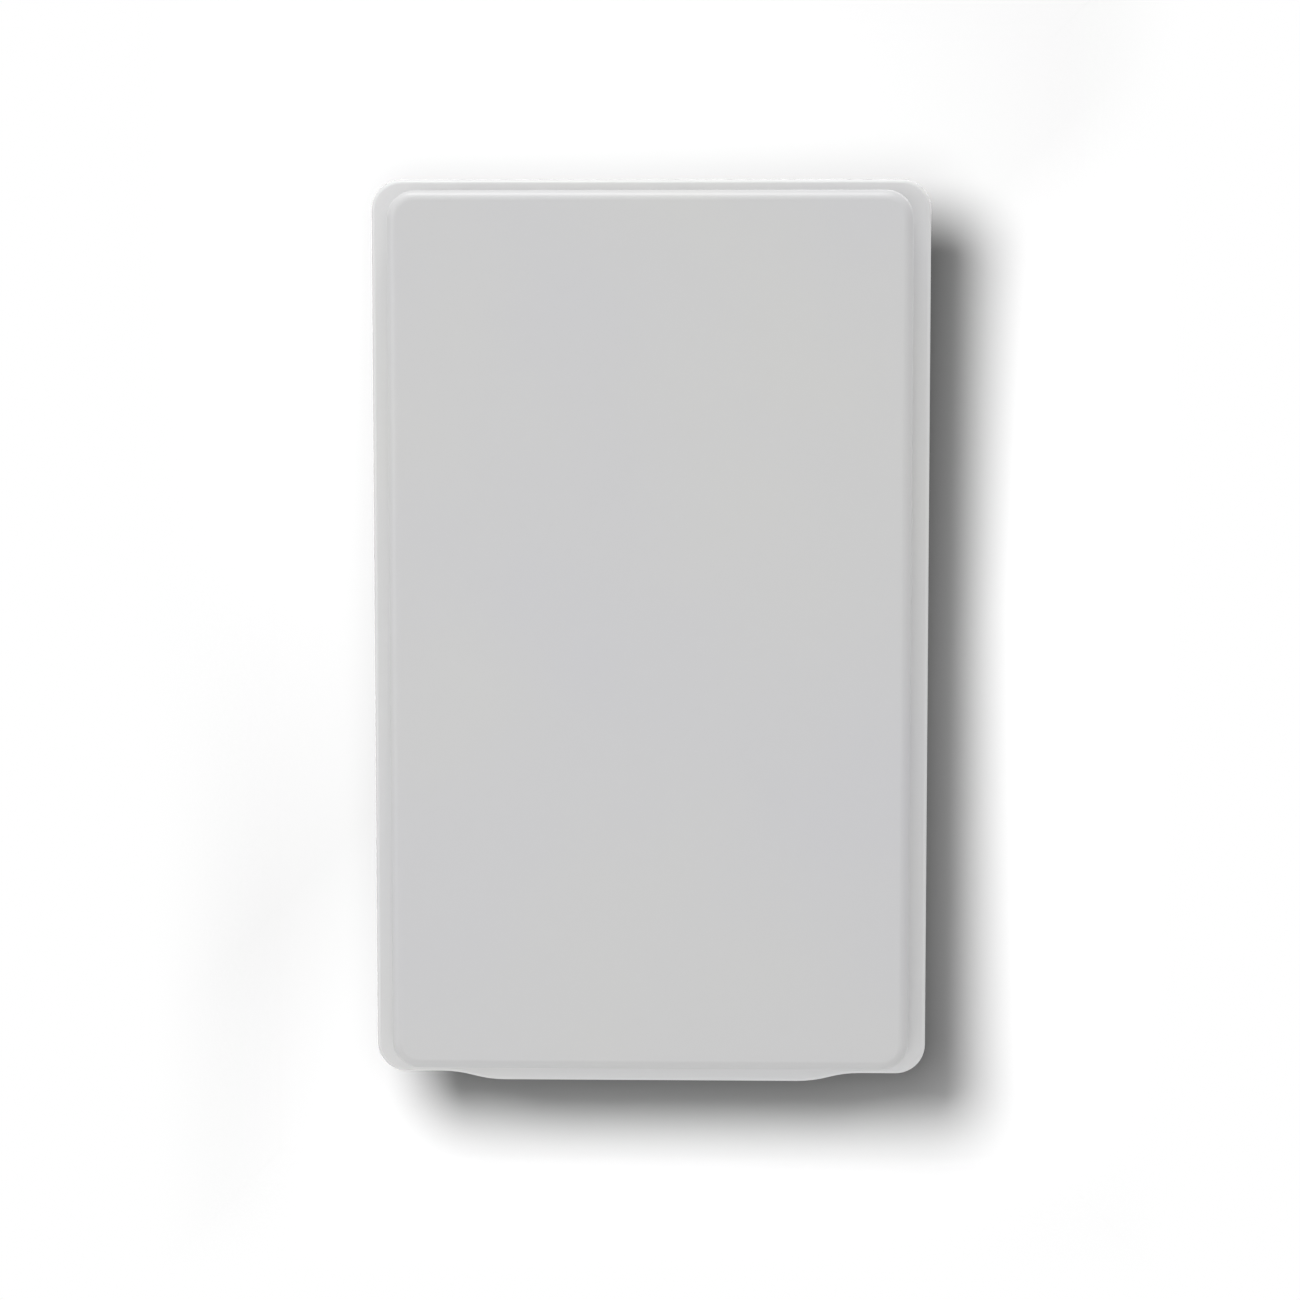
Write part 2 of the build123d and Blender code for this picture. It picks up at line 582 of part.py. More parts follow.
with BuildPart() as director_spacers:
    with BuildSketch(station(DRIVEN_FRONT)):
        with PATCH_SPOTS:
            Circle(SPACER_R)
            Circle(POST_HOLE_R, mode=Mode.SUBTRACT)
    extrude(amount=DIRECTOR_RISE)
finish(director_spacers.part, "director_spacers", "antenna")

with BuildPart() as patch_screws:
    with BuildSketch(station(DIRECTOR_FRONT)):
        with PATCH_SPOTS:
            Circle(POST_HEAD_R)
    extrude(amount=POST_HEAD_H)
    fillet(patch_screws.faces().group_by(Axis.Y)[0].edges(), POST_HEAD_H * 0.4)
    with BuildSketch(station(DIRECTOR_FRONT)):
        with PATCH_SPOTS:
            Circle(POST_SCREW_R)
    extrude(amount=-(DIRECTOR_FRONT - REFLECTOR_BACK + NUT_H + 0.4))
finish(patch_screws.part, "patch_screws", "antenna")

with BuildPart() as patch_nuts:
    with BuildSketch(station(REFLECTOR_BACK)):
        with PATCH_SPOTS:
            RegularPolygon(POST_HEAD_R, 6, major_radius=False)
            Circle(POST_SCREW_R + THREAD_CLEAR, mode=Mode.SUBTRACT)
    extrude(amount=-NUT_H)
finish(patch_nuts.part, "patch_nuts", "antenna")

with BuildPart() as feed_pins:
    with BuildSketch(station(TRACE_FRONT)):
        with FEED_SPOTS:
            Circle(FEED_PIN_R)
    extrude(amount=DRIVEN_FRONT + 0.6 - TRACE_FRONT)
finish(feed_pins.part, "feed_pins", "antenna")

# ---------------------------------------------------------------- pigtail from the jack to the feed board
pin_depth = GAP_STATION - LAUNCH_PIN_R
cable_end = -LAUNCH_BUSH_R - 1.0

with BuildPart() as pigtail:
    with BuildLine() as route:
        bend_z = JACK_STUB_TOP + 1.5 + PIGTAIL_BEND
        FilletPolyline(
            (0, -JACK_STATION, JACK_STUB_TOP),
            (0, -JACK_STATION, bend_z),
            (0, -GAP_STATION, bend_z),
            (0, -GAP_STATION, cable_end),
            radius=PIGTAIL_BEND,
        )
    with BuildSketch(Plane(route.line @ 0, z_dir=route.line % 0)):
        Circle(PIGTAIL_R)
    sweep()
finish(pigtail.part, "pigtail", "antenna")
run = sum(e.length for e in route.edges())
print("pigtail length", round(run, 1), "mm, bends", PIGTAIL_BEND, "mm radius")

with BuildPart() as pigtail_conductor:
    with BuildSketch(Plane.XY.offset(cable_end).shift_origin((0, -GAP_STATION, cable_end))):
        Circle(LAUNCH_PIN_R)
    extrude(amount=-cable_end)
    with BuildSketch(station(pin_depth)):
        Circle(LAUNCH_PIN_R)
    extrude(amount=TRACE_FRONT + 0.5 - pin_depth)
finish(pigtail_conductor.part, "pigtail_conductor", "antenna")

with BuildPart() as launch_bush:
    with BuildSketch(station(REFLECTOR_BACK)):
        Circle(LAUNCH_BUSH_R)
        Circle(LAUNCH_PIN_R + THREAD_CLEAR, mode=Mode.SUBTRACT)
    extrude(amount=BOARD_FRONT - REFLECTOR_BACK)
finish(launch_bush.part, "launch_bush", "antenna")

with BuildPart() as launch_block:
    with BuildSketch(station(BLOCK_BACK)):
        with Locations((0, cable_end)):
            RectangleRounded(BLOCK_WIDTH, BLOCK_LENGTH, 1.0)
    extrude(amount=REFLECTOR_BACK - BLOCK_BACK)
    with BuildSketch(Plane.XY.offset(-BLOCK_LENGTH).shift_origin((0, -GAP_STATION, -BLOCK_LENGTH))):
        Circle(PIGTAIL_R + THREAD_CLEAR)
    extrude(amount=BLOCK_LENGTH + LAUNCH_BUSH_R, mode=Mode.SUBTRACT)
    with BuildSketch(station(GAP_STATION)):
        Circle(LAUNCH_BUSH_R)
    extrude(amount=REFLECTOR_BACK - GAP_STATION, mode=Mode.SUBTRACT)
finish(launch_block.part, "launch_block", "antenna")

with BuildPart() as pigtail_clips:
    with BuildSketch(station(FLOOR_FRONT)):
        with Locations((0, CLIP_TOP), (0, CLIP_TOP - CLIP_PITCH)):
            RectangleRounded(CLIP_WIDTH, CLIP_LENGTH, 1.0)
    extrude(amount=REFLECTOR_GAP - 0.2)
    low = CLIP_TOP - CLIP_PITCH - CLIP_LENGTH
    with BuildSketch(Plane.XY.offset(low).shift_origin((0, -GAP_STATION, low))):
        Circle(PIGTAIL_R + THREAD_CLEAR)
        with Locations((0, PIGTAIL_R * 2)):
            Rectangle(PIGTAIL_R * 1.5, PIGTAIL_R * 4)
    extrude(amount=CLIP_PITCH + 2 * CLIP_LENGTH, mode=Mode.SUBTRACT)
finish(pigtail_clips.part, "pigtail_clips", "antenna")

# ---------------------------------------------------------------- radio jack under its housing
with BuildPart() as jack_body:
    with BuildSketch(level(JACK_TIP)):
        Circle(JACK_THREAD_R)
    extrude(amount=JACK_SEAT + JACK_SEAL_T - JACK_TIP)
    chamfer(jack_body.faces().sort_by(Axis.Z)[0].edges(), JACK_TIP_CHAMFER)
    with BuildSketch(level(JACK_NUT_BOTTOM)):
        Circle(JACK_THREAD_R)
        Circle(JACK_THREAD_R - JACK_RELIEF / 2, mode=Mode.SUBTRACT)
    extrude(amount=-JACK_RELIEF, mode=Mode.SUBTRACT)
    with BuildSketch(level(JACK_SEAT + JACK_SEAL_T)):
        Circle(JACK_FLANGE_R)
    extrude(amount=JACK_FLANGE_T)
    with BuildSketch(level(JACK_FLANGE_TOP)):
        Circle(JACK_STUB_R)
    extrude(amount=JACK_STUB_LENGTH)
    with BuildSketch(level(JACK_TIP)):
        Circle(JACK_BORE_R)
    extrude(amount=JACK_BORE_DEPTH + 6.0, mode=Mode.SUBTRACT)
finish(jack_body.part, "jack_body", "antenna")

with BuildPart() as jack_insulator:
    with BuildSketch(level(JACK_TIP + JACK_BORE_DEPTH)):
        Circle(JACK_BORE_R)
        Circle(CONTACT_R, mode=Mode.SUBTRACT)
    extrude(amount=6.0)
finish(jack_insulator.part, "jack_insulator", "antenna")

with BuildPart() as jack_contact:
    with BuildSketch(level(JACK_TIP + 2.0)):
        Circle(CONTACT_R)
    extrude(amount=JACK_BORE_DEPTH + 4.0)
    fillet(jack_contact.faces().sort_by(Axis.Z)[0].edges(), 0.4)
    with BuildSketch(level(JACK_TIP + 2.0)):
        Circle(CONTACT_BORE_R)
    extrude(amount=5.0, mode=Mode.SUBTRACT)
    with BuildSketch(level(JACK_TIP + 2.0)):
        Rectangle(2 * CONTACT_R, 0.35)
        Rectangle(0.35, 2 * CONTACT_R)
    extrude(amount=4.0, mode=Mode.SUBTRACT)
finish(jack_contact.part, "jack_contact", "antenna")

with BuildPart() as jack_seal:
    with BuildSketch(level(JACK_SEAT)):
        Circle(JACK_FLANGE_R)
        Circle(JACK_THREAD_R + THREAD_CLEAR, mode=Mode.SUBTRACT)
    extrude(amount=JACK_SEAL_T)
finish(jack_seal.part, "jack_seal", "antenna")

with BuildPart() as jack_washer:
    with BuildSketch(level(JACK_NUT_TOP)):
        Circle(JACK_NUT_R + 1.0)
        Circle(JACK_THREAD_R + THREAD_CLEAR, mode=Mode.SUBTRACT)
    extrude(amount=JACK_WASHER_T)
finish(jack_washer.part, "jack_washer", "antenna")

with BuildPart() as jack_nut:
    with BuildSketch(level(JACK_NUT_BOTTOM)):
        RegularPolygon(JACK_NUT_R, 6, major_radius=False)
    extrude(amount=JACK_NUT_H)
    with BuildSketch(level(JACK_NUT_BOTTOM)):
        Circle(JACK_NUT_R * 1.06)
    extrude(amount=JACK_NUT_H, mode=Mode.INTERSECT)
    with BuildSketch(level(JACK_NUT_BOTTOM)):
        Circle(JACK_THREAD_R + THREAD_CLEAR)
    extrude(amount=JACK_NUT_H, mode=Mode.SUBTRACT)
finish(jack_nut.part, "jack_nut", "antenna")

# ---------------------------------------------------------------- breather vent
with BuildPart() as vent_plug:
    with BuildSketch(station(BACK)):
        with Locations((VENT_X, VENT_HEIGHT)):
            Circle(VENT_HEAD_R)
    extrude(amount=-VENT_HEAD_H)
    fillet(vent_plug.faces().sort_by(Axis.Y)[-1].edges(), 0.8)
    with BuildSketch(station(BACK)):
        with Locations((VENT_X, VENT_HEIGHT)):
            Circle(VENT_R)
    extrude(amount=FLOOR_THICK)
    with BuildSketch(station(FLOOR_FRONT)):
        with Locations((VENT_X, VENT_HEIGHT)):
            Circle(VENT_R + 0.6)
    extrude(amount=1.0)
    # four slots under the cap let the housing breathe
    with BuildSketch(station(BACK - VENT_HEAD_H / 2)):
        with Locations((VENT_X, VENT_HEIGHT)):
            with PolarLocations(VENT_HEAD_R, 4, start_angle=45):
                Rectangle(2.4, 1.8)
    extrude(amount=VENT_HEAD_H / 2, mode=Mode.SUBTRACT)
finish(vent_plug.part, "vent_plug", "antenna")

# ---------------------------------------------------------------- inserts, and the bracket on the antenna
with BuildPart() as threaded_inserts:
    with BuildSketch(station(PANEL_PLATE_FRONT)):
        with PAD_SPOTS:
            Circle(INSERT_R)
            Circle(INSERT_BORE_R, mode=Mode.SUBTRACT)
    extrude(amount=INSERT_LENGTH)
finish(threaded_inserts.part, "threaded_inserts", "antenna")

slot_reach = LOCK_RADIUS * sin(radians(TILT_LIMIT))
ear_back = PIVOT_STATION - slot_reach - PIVOT_HOLE_R - PANEL_EAR_MARGIN
ear_top = PIVOT_HEIGHT + WALL_EAR_TIP_R + 2.0
ear_bottom = LOCK_HEIGHT - PIVOT_HOLE_R - PANEL_EAR_MARGIN
lock_arc = CenterArc((0, 0), LOCK_RADIUS, 270 - SLOT_HALF_ANGLE, 2 * SLOT_HALF_ANGLE)
with BuildPart() as tilt_bracket:
    with BuildSketch(station(PANEL_PLATE_BACK)):
        Rectangle(2 * PANEL_EAR_OUTER, PANEL_PLATE_H)
    extrude(amount=BRACKET_T)
    fillet(tilt_bracket.edges().filter_by(Axis.Y), 6.0)
    # the ears, bent back from the plate
    with BuildSketch(side(-PANEL_EAR_OUTER)):
        with Locations((-(PANEL_PLATE_FRONT + ear_back) / 2, (ear_top + ear_bottom) / 2)):
            Rectangle(PANEL_PLATE_FRONT - ear_back, ear_top - ear_bottom)
    extrude(amount=2 * PANEL_EAR_OUTER)
    with BuildSketch(side(-PANEL_EAR_INNER)):
        with Locations((-ear_back - (PANEL_PLATE_BACK - ear_back) / 2, 0)):
            Rectangle(PANEL_PLATE_BACK - ear_back, PANEL_PLATE_H)
    extrude(amount=2 * PANEL_EAR_INNER, mode=Mode.SUBTRACT)
    fillet(
        tilt_bracket.edges().filter_by(Axis.X).filter_by(
            lambda e: abs(e.center().Y + ear_back) < 0.01
        ),
        9.0,
    )
    fillet(
        tilt_bracket.edges().filter_by(Axis.Z).filter_by(
            lambda e: abs(e.center().Y + PANEL_PLATE_FRONT) < 0.01
            and abs(abs(e.center().X) - PANEL_EAR_OUTER) < 0.01
        ),
        BEND_R,
    )
    # pivot hole and arc slot through both ears
    with BuildSketch(side(-PANEL_EAR_OUTER)):
        with Locations((-PIVOT_STATION, PIVOT_HEIGHT)):
            Circle(PIVOT_HOLE_R)
            SlotArc(lock_arc, 2 * PIVOT_HOLE_R)
    extrude(amount=2 * PANEL_EAR_OUTER, mode=Mode.SUBTRACT)
    # tilt scale: one cut every ten degrees above the pivot, on the outer faces
    ticks = int(TILT_LIMIT // TICK_STEP)
    spread = ticks * TICK_STEP
    for x in (PANEL_EAR_OUTER - TICK_DEPTH, -PANEL_EAR_OUTER):
        with BuildSketch(side(x)):
            with Locations((-PIVOT_STATION, PIVOT_HEIGHT)):
                with PolarLocations(WASHER_R + 3.0, 2 * ticks + 1, 90 - spread, 2 * spread):
                    Rectangle(3.0, 0.6)
        extrude(amount=TICK_DEPTH, mode=Mode.SUBTRACT)
    with BuildSketch(station(PANEL_PLATE_BACK)):
        with PAD_SPOTS:
            Circle(PANEL_SCREW_R + 0.25)
        Circle(8.0)
    extrude(amount=BRACKET_T, mode=Mode.SUBTRACT)
finish(tilt_bracket.part, "tilt_bracket", "antenna")

with BuildPart() as bracket_washers:
    with BuildSketch(station(PANEL_PLATE_BACK - PANEL_WASHER_T)):
        with PAD_SPOTS:
            Circle(PANEL_WASHER_R)
            Circle(PANEL_SCREW_R + 0.15, mode=Mode.SUBTRACT)
    extrude(amount=PANEL_WASHER_T)
finish(bracket_washers.part, "bracket_washers", "antenna")

with BuildPart() as bracket_screws:
    with BuildSketch(station(PANEL_PLATE_BACK - PANEL_WASHER_T)):
        with PAD_SPOTS:
            RegularPolygon(PANEL_HEAD_R, 6, major_radius=False)
    extrude(amount=-PANEL_HEAD_H)
    with BuildSketch(station(PANEL_PLATE_BACK - PANEL_WASHER_T)):
        with PAD_SPOTS:
            Circle(PANEL_HEAD_R * 1.07)
    extrude(amount=-PANEL_HEAD_H, mode=Mode.INTERSECT)
    with BuildSketch(station(PANEL_PLATE_BACK - PANEL_WASHER_T)):
        with PAD_SPOTS:
            Circle(PANEL_SCREW_R)
    extrude(amount=PANEL_WASHER_T + BRACKET_T + INSERT_LENGTH - 0.5)
finish(bracket_screws.part, "bracket_screws", "antenna")

# ---------------------------------------------------------------- bracket on the wall
with BuildPart() as wall_bracket:
    with BuildSketch(station(0)):
        RectangleRounded(2 * WALL_EAR_OUTER, WALL_PLATE_H, 6.0)
    extrude(amount=BRACKET_T)
    with BuildSketch(side(-WALL_EAR_OUTER)):
        ear_low = LOCK_HEIGHT - LOCK_TIP_R
        ear_high = PIVOT_HEIGHT + WALL_EAR_TIP_R
        with Locations((-PIVOT_STATION / 2, (ear_low + ear_high) / 2)):
            Rectangle(PIVOT_STATION, ear_high - ear_low)
        with BuildLine():
            top_arc = RadiusArc(
                (-PIVOT_STATION, ear_high),
                (-PIVOT_STATION - WALL_EAR_TIP_R, PIVOT_HEIGHT),
                WALL_EAR_TIP_R,
            )
            low_arc = RadiusArc(
                (-PIVOT_STATION - LOCK_TIP_R, LOCK_HEIGHT),
                (-PIVOT_STATION, ear_low),
                LOCK_TIP_R,
            )
            Line(top_arc @ 1, low_arc @ 0)
            Line(low_arc @ 1, top_arc @ 0)
        make_face()
    extrude(amount=2 * WALL_EAR_OUTER)
    with BuildSketch(side(-WALL_EAR_INNER)):
        with Locations((-BRACKET_T - PIVOT_STATION, 0)):
            Rectangle(2 * PIVOT_STATION, WALL_PLATE_H)
    extrude(amount=2 * WALL_EAR_INNER, mode=Mode.SUBTRACT)
    fillet(
        wall_bracket.edges().filter_by(Axis.Z).filter_by(
            lambda e: abs(e.center().Y) < 0.01 and abs(abs(e.center().X) - WALL_EAR_OUTER) < 0.01
        ),
        BEND_R,
    )
    # square holes stop the carriage bolts from turning
    with BuildSketch(side(-WALL_EAR_OUTER)):
        with BOLT_SPOTS:
            Rectangle(BOLT_NECK + 2 * PIVOT_CLEAR, BOLT_NECK + 2 * PIVOT_CLEAR)
    extrude(amount=2 * WALL_EAR_OUTER, mode=Mode.SUBTRACT)
    with BuildSketch(station(0)):
        with WALL_SPOTS:
            Circle(WALL_HOLE_R)
    extrude(amount=BRACKET_T, mode=Mode.SUBTRACT)
finish(wall_bracket.part, "wall_bracket", "wall_bracket")

for name, height in (("pivot", PIVOT_HEIGHT), ("lock", LOCK_HEIGHT)):
    spot = Locations((-PIVOT_STATION, height))
    with BuildPart() as bolts:
        with BuildSketch(side(WALL_EAR_INNER)):
            with spot:
                Circle(BOLT_HEAD_R)
        extrude(amount=-BOLT_HEAD_H)
        fillet(bolts.faces().sort_by(Axis.X)[0].edges(), BOLT_HEAD_H * 0.75)
        with BuildSketch(side(WALL_EAR_INNER)):
            with spot:
                Rectangle(BOLT_NECK, BOLT_NECK)
        extrude(amount=BRACKET_T)
        with BuildSketch(side(WALL_EAR_OUTER)):
            with spot:
                Circle(PIVOT_R)
        extrude(amount=BOLT_END - WALL_EAR_OUTER)
        chamfer(bolts.faces().sort_by(Axis.X)[-1].edges(), 0.6)
        mirror(about=Plane.YZ)
    finish(bolts.part, f"{name}_bolts", "wall_bracket")

    with BuildPart() as friction_washers:
        with BuildSketch(side(WALL_EAR_OUTER)):
            with spot:
                Circle(FRICTION_R)
                Circle(PIVOT_R + PIVOT_CLEAR, mode=Mode.SUBTRACT)
        extrude(amount=FRICTION_T)
        mirror(about=Plane.YZ)
    finish(friction_washers.part, f"{name}_friction_washers", "wall_bracket")

    with BuildPart() as washers:
        with BuildSketch(side(WASHER_INNER)):
            with spot:
                Circle(WASHER_R)
                Circle(PIVOT_R + PIVOT_CLEAR, mode=Mode.SUBTRACT)
        extrude(amount=WASHER_T)
        mirror(about=Plane.YZ)
    finish(washers.part, f"{name}_washers", "wall_bracket")

    with BuildPart() as nuts:
        with BuildSketch(side(NUT_INNER)):
            with spot:
                Circle(WASHER_R)
        extrude(amount=1.4)
        with BuildSketch(side(NUT_INNER)):
            with spot:
                RegularPolygon(FLANGE_NUT_R, 6, major_radius=False)
        extrude(amount=FLANGE_NUT_H)
        chamfer(nuts.faces().sort_by(Axis.X)[-1].edges(), 0.4)
        with BuildSketch(side(NUT_INNER)):
            with spot:
                Circle(PIVOT_R + THREAD_CLEAR)
        extrude(amount=FLANGE_NUT_H, mode=Mode.SUBTRACT)
        mirror(about=Plane.YZ)
    finish(nuts.part, f"{name}_nuts", "wall_bracket")

for body, nodes in BODIES.items():
    print(body, len(nodes), nodes)
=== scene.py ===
# %% [markdown]
# # A flat panel antenna on its tilting wall bracket
#
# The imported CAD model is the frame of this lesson.  Its pieces already have the right shape and
# place, in metres, with +Z up, the radome facing -Y, and the wall at y = 0.  Here each one gets the
# finish of its real material, and the pieces that a camera looks at closely are modelled again with
# finer edges, screw threads and chamfers.

import json
from math import atan2, cos, pi, radians, sin

import bmesh
import bpy
from mathutils import Matrix, Vector


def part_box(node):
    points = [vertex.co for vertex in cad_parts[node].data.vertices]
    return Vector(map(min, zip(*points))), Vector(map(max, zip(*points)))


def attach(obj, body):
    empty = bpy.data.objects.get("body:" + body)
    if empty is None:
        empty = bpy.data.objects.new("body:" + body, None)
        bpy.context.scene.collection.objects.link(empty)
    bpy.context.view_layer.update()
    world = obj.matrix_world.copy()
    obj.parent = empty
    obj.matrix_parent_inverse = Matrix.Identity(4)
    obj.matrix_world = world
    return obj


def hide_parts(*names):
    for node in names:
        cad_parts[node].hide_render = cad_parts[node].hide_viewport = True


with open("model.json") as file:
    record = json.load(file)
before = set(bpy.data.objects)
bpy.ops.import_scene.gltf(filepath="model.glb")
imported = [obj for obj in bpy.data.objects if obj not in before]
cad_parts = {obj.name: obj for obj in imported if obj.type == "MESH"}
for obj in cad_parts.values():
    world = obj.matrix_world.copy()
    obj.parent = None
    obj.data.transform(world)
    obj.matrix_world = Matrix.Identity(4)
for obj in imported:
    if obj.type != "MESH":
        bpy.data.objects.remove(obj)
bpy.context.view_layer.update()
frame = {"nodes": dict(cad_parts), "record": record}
record = frame["record"]
nodes = frame["nodes"]
MM = 0.001

# %% [markdown]
# ## Small helpers for materials
#
# Colours are chosen as sRGB hex values, the way a paint chart gives them, and one function turns them
# into the linear values that a shader works in.  One more function adds a shader node, sets it and
# links it, so that each material below reads as a list of what feeds what.


# %% Colour and node helpers
def linear(code):
    """A hex colour as linear red, green, blue and alpha."""
    channels = [int(code[i : i + 2], 16) / 255 for i in (1, 3, 5)]
    return [c / 12.92 if c <= 0.04045 else ((c + 0.055) / 1.055) ** 2.4 for c in channels] + [1.0]


def add(tree, kind, inputs=None, **settings):
    """Adds one node. inputs maps a socket's name or number to a value or to another node's output."""
    made = tree.nodes.new("ShaderNode" + kind)
    for key, value in settings.items():
        setattr(made, key, value)
    for socket, value in (inputs or {}).items():
        if isinstance(value, bpy.types.NodeSocket):
            tree.links.new(value, made.inputs[socket])
        else:
            made.inputs[socket].default_value = value
    return made


def per_mm(size_mm):
    """The texture scale whose features are about size_mm across, on coordinates in metres."""
    return 1.0 / (size_mm * MM)


def new_material(name):
    """An empty node material, its tree, and the object coordinates that its patterns read."""
    made = bpy.data.materials.new(name)
    made.use_nodes = True
    made.node_tree.nodes.clear()
    coords = add(made.node_tree, "TexCoord").outputs["Object"]
    return made, made.node_tree, coords


def close(tree, shader):
    """Links a finished shader to the material's output."""
    add(tree, "OutputMaterial", {"Surface": shader.outputs[0]})


# %% [markdown]
# ## What the finishes have in common
#
# Nearly every real surface varies a little on two scales: a slow drift in tone across the piece, and
# a fine grain that breaks up its gloss.  `finish` builds that from two noise textures.  The drift
# mixes two close colours, the grain moves the roughness and lifts a bump, and each material gives
# both their real size in millimetres.


# %% The common finish
NOISE_LOW, NOISE_HIGH = 0.3, 0.7  # a noise texture's values lie almost all between these


def finish(name, colours, drift_mm, grain_mm, bump_mm, roughness, stretch=(1, 1, 1), **shader):
    """A Principled material: colours (two hex values), drift and grain sizes, and a roughness range."""
    made, tree, coords = new_material(name)
    place = add(tree, "Mapping", {"Vector": coords, "Scale": stretch}).outputs[0]
    drift = add(tree, "TexNoise", {"Vector": coords, "Scale": per_mm(drift_mm), "Detail": 2.0})
    grain = add(tree, "TexNoise", {"Vector": place, "Scale": per_mm(grain_mm), "Detail": 3.0})
    spread = {"From Min": NOISE_LOW, "From Max": NOISE_HIGH}
    ramp = add(tree, "MapRange", {"Value": drift.outputs["Fac"], **spread})
    tint = add(
        tree,
        "Mix",
        {"Factor": ramp.outputs[0], 6: linear(colours[0]), 7: linear(colours[1])},
        data_type="RGBA",
    )
    gloss = {"To Min": roughness[0], "To Max": roughness[1]}
    rough = add(tree, "MapRange", {"Value": grain.outputs["Fac"], **spread, **gloss})
    bump = add(
        tree,
        "Bump",
        {"Height": grain.outputs["Fac"], "Distance": bump_mm * MM, "Strength": 1.0},
    )
    values = {"Base Color": tint.outputs[2], "Roughness": rough.outputs[0], "Normal": bump.outputs[0]}
    values.update({key.replace("_", " "): value for key, value in shader.items()})
    close(tree, add(tree, "BsdfPrincipled", values))
    return made


# %% [markdown]
# ## Moulded plastic of the radome and the rear housing
#
# An outdoor antenna is covered in ASA, a plastic that radio waves pass through and sunlight doesn't
# yellow.  It is moulded in a light neutral grey against spark-eroded steel, so it has a fine, even
# grain and a satin sheen.  The eye sees a nearly flat tone with soft, broad highlights on the rounded
# edges.  The grain is really about 0.1 mm and is drawn at 0.45 mm, so that it still shows.

# %% Plastics
# the cover: a smooth satin skin, nearly one tone, with soft highlights on its edges
asa_radome = finish(
    "asa_moulded_satin_light_grey",
    ("#cacacc", "#cccccb"),
    drift_mm=70.0,
    grain_mm=0.45,
    bump_mm=0.006,
    roughness=(0.36, 0.44),
    IOR=1.5,
)
# the rear housing: the same plastic with a coarser grain, so duller, and painted paler to lift the
# shade of its rim beside the cover
asa_housing_painted_paler = finish(
    "asa_moulded_textured_painted_paler_grey",
    ("#dbdbdc", "#dddddc"),
    drift_mm=55.0,
    grain_mm=0.6,
    bump_mm=0.012,
    roughness=(0.40, 0.50),
    IOR=1.5,
)
# the vent's cap: deep grey with a soft sheen that shows its rounded edge
black_plastic = finish(
    "polyamide_moulded_black",
    ("#1b1b1c", "#212122"),
    drift_mm=6.0,
    grain_mm=0.35,
    bump_mm=0.01,
    roughness=(0.42, 0.55),
    IOR=1.53,
)
# spacers and the jack's insulator: waxy white that lets a little light in
ptfe = finish(
    "ptfe_turned_white",
    ("#f0f0ec", "#f4f4f1"),
    drift_mm=5.0,
    grain_mm=0.3,
    bump_mm=0.006,
    roughness=(0.38, 0.48),
    IOR=1.35,
    Subsurface_Weight=0.3,
    Subsurface_Scale=0.002,
)
# rivets, clips and friction washers: warm ivory, a little see-through at thin edges
nylon = finish(
    "nylon_moulded_natural",
    ("#e6e1d3", "#ece8dc"),
    drift_mm=5.0,
    grain_mm=0.3,
    bump_mm=0.006,
    roughness=(0.34, 0.46),
    IOR=1.53,
    Subsurface_Weight=0.25,
    Subsurface_Scale=0.0015,
)
# the seal: matt mid grey, almost without highlights
silicone = finish(
    "silicone_moulded_grey",
    ("#a7a7a3", "#adadaa"),
    drift_mm=8.0,
    grain_mm=0.4,
    bump_mm=0.01,
    roughness=(0.55, 0.7),
    IOR=1.41,
)
# the jack's seal ring: matt black
rubber = finish(
    "epdm_rubber_moulded_black",
    ("#191919", "#202020"),
    drift_mm=4.0,
    grain_mm=0.3,
    bump_mm=0.015,
    roughness=(0.6, 0.78),
    IOR=1.52,
)
# the pigtail's jacket: clear over a brown tape, so glossy and warm
jacket = finish(
    "fep_extruded_clear_brown",
    ("#7d4f31", "#87583a"),
    drift_mm=4.0,
    grain_mm=0.3,
    bump_mm=0.004,
    roughness=(0.12, 0.2),
    IOR=1.34,
    Coat_Weight=0.4,
)

# %% [markdown]
# ## Metals
#
# The bracket is pressed from steel sheet and powder coated: a baked plastic skin with the faint
# orange peel of powder that flowed before it set.  Fasteners are zinc plated, which is bright but a
# little cloudy.  Inside are rolled aluminium and brass sheets, whose rolls leave fine lines along the
# sheet, so their grain is stretched that way.  A metal's colour is its reflection, and its IOR stays
# at the default.

# %% Metals
# the brackets: light grey with the faint orange peel of melted powder
powder_coat = finish(
    "steel_powder_coated_light_grey",
    ("#c3c4c3", "#c8c8c6"),
    drift_mm=25.0,
    grain_mm=1.1,
    bump_mm=0.02,
    roughness=(0.34, 0.42),
    IOR=1.5,
)
# bolts, nuts and washers: bright and bluish, with slightly cloudy patches
zinc = finish(
    "steel_zinc_plated_bright",
    ("#cdd0d3", "#d6d5d0"),
    drift_mm=3.0,
    grain_mm=0.5,
    bump_mm=0.002,
    roughness=(0.2, 0.3),
    Metallic=1.0,
)
# the small screws: a warmer, darker grey than zinc
stainless = finish(
    "stainless_steel_passivated",
    ("#b8b6b2", "#c2c0bc"),
    drift_mm=2.5,
    grain_mm=0.35,
    bump_mm=0.004,
    roughness=(0.2, 0.32),
    Metallic=1.0,
)
# the jack and its nut: smooth, yellowish silver with sharp highlights
nickel = finish(
    "brass_nickel_plated",
    ("#cbc6ba", "#d2cec4"),
    drift_mm=4.0,
    grain_mm=0.3,
    bump_mm=0.003,
    roughness=(0.14, 0.24),
    Metallic=1.0,
)
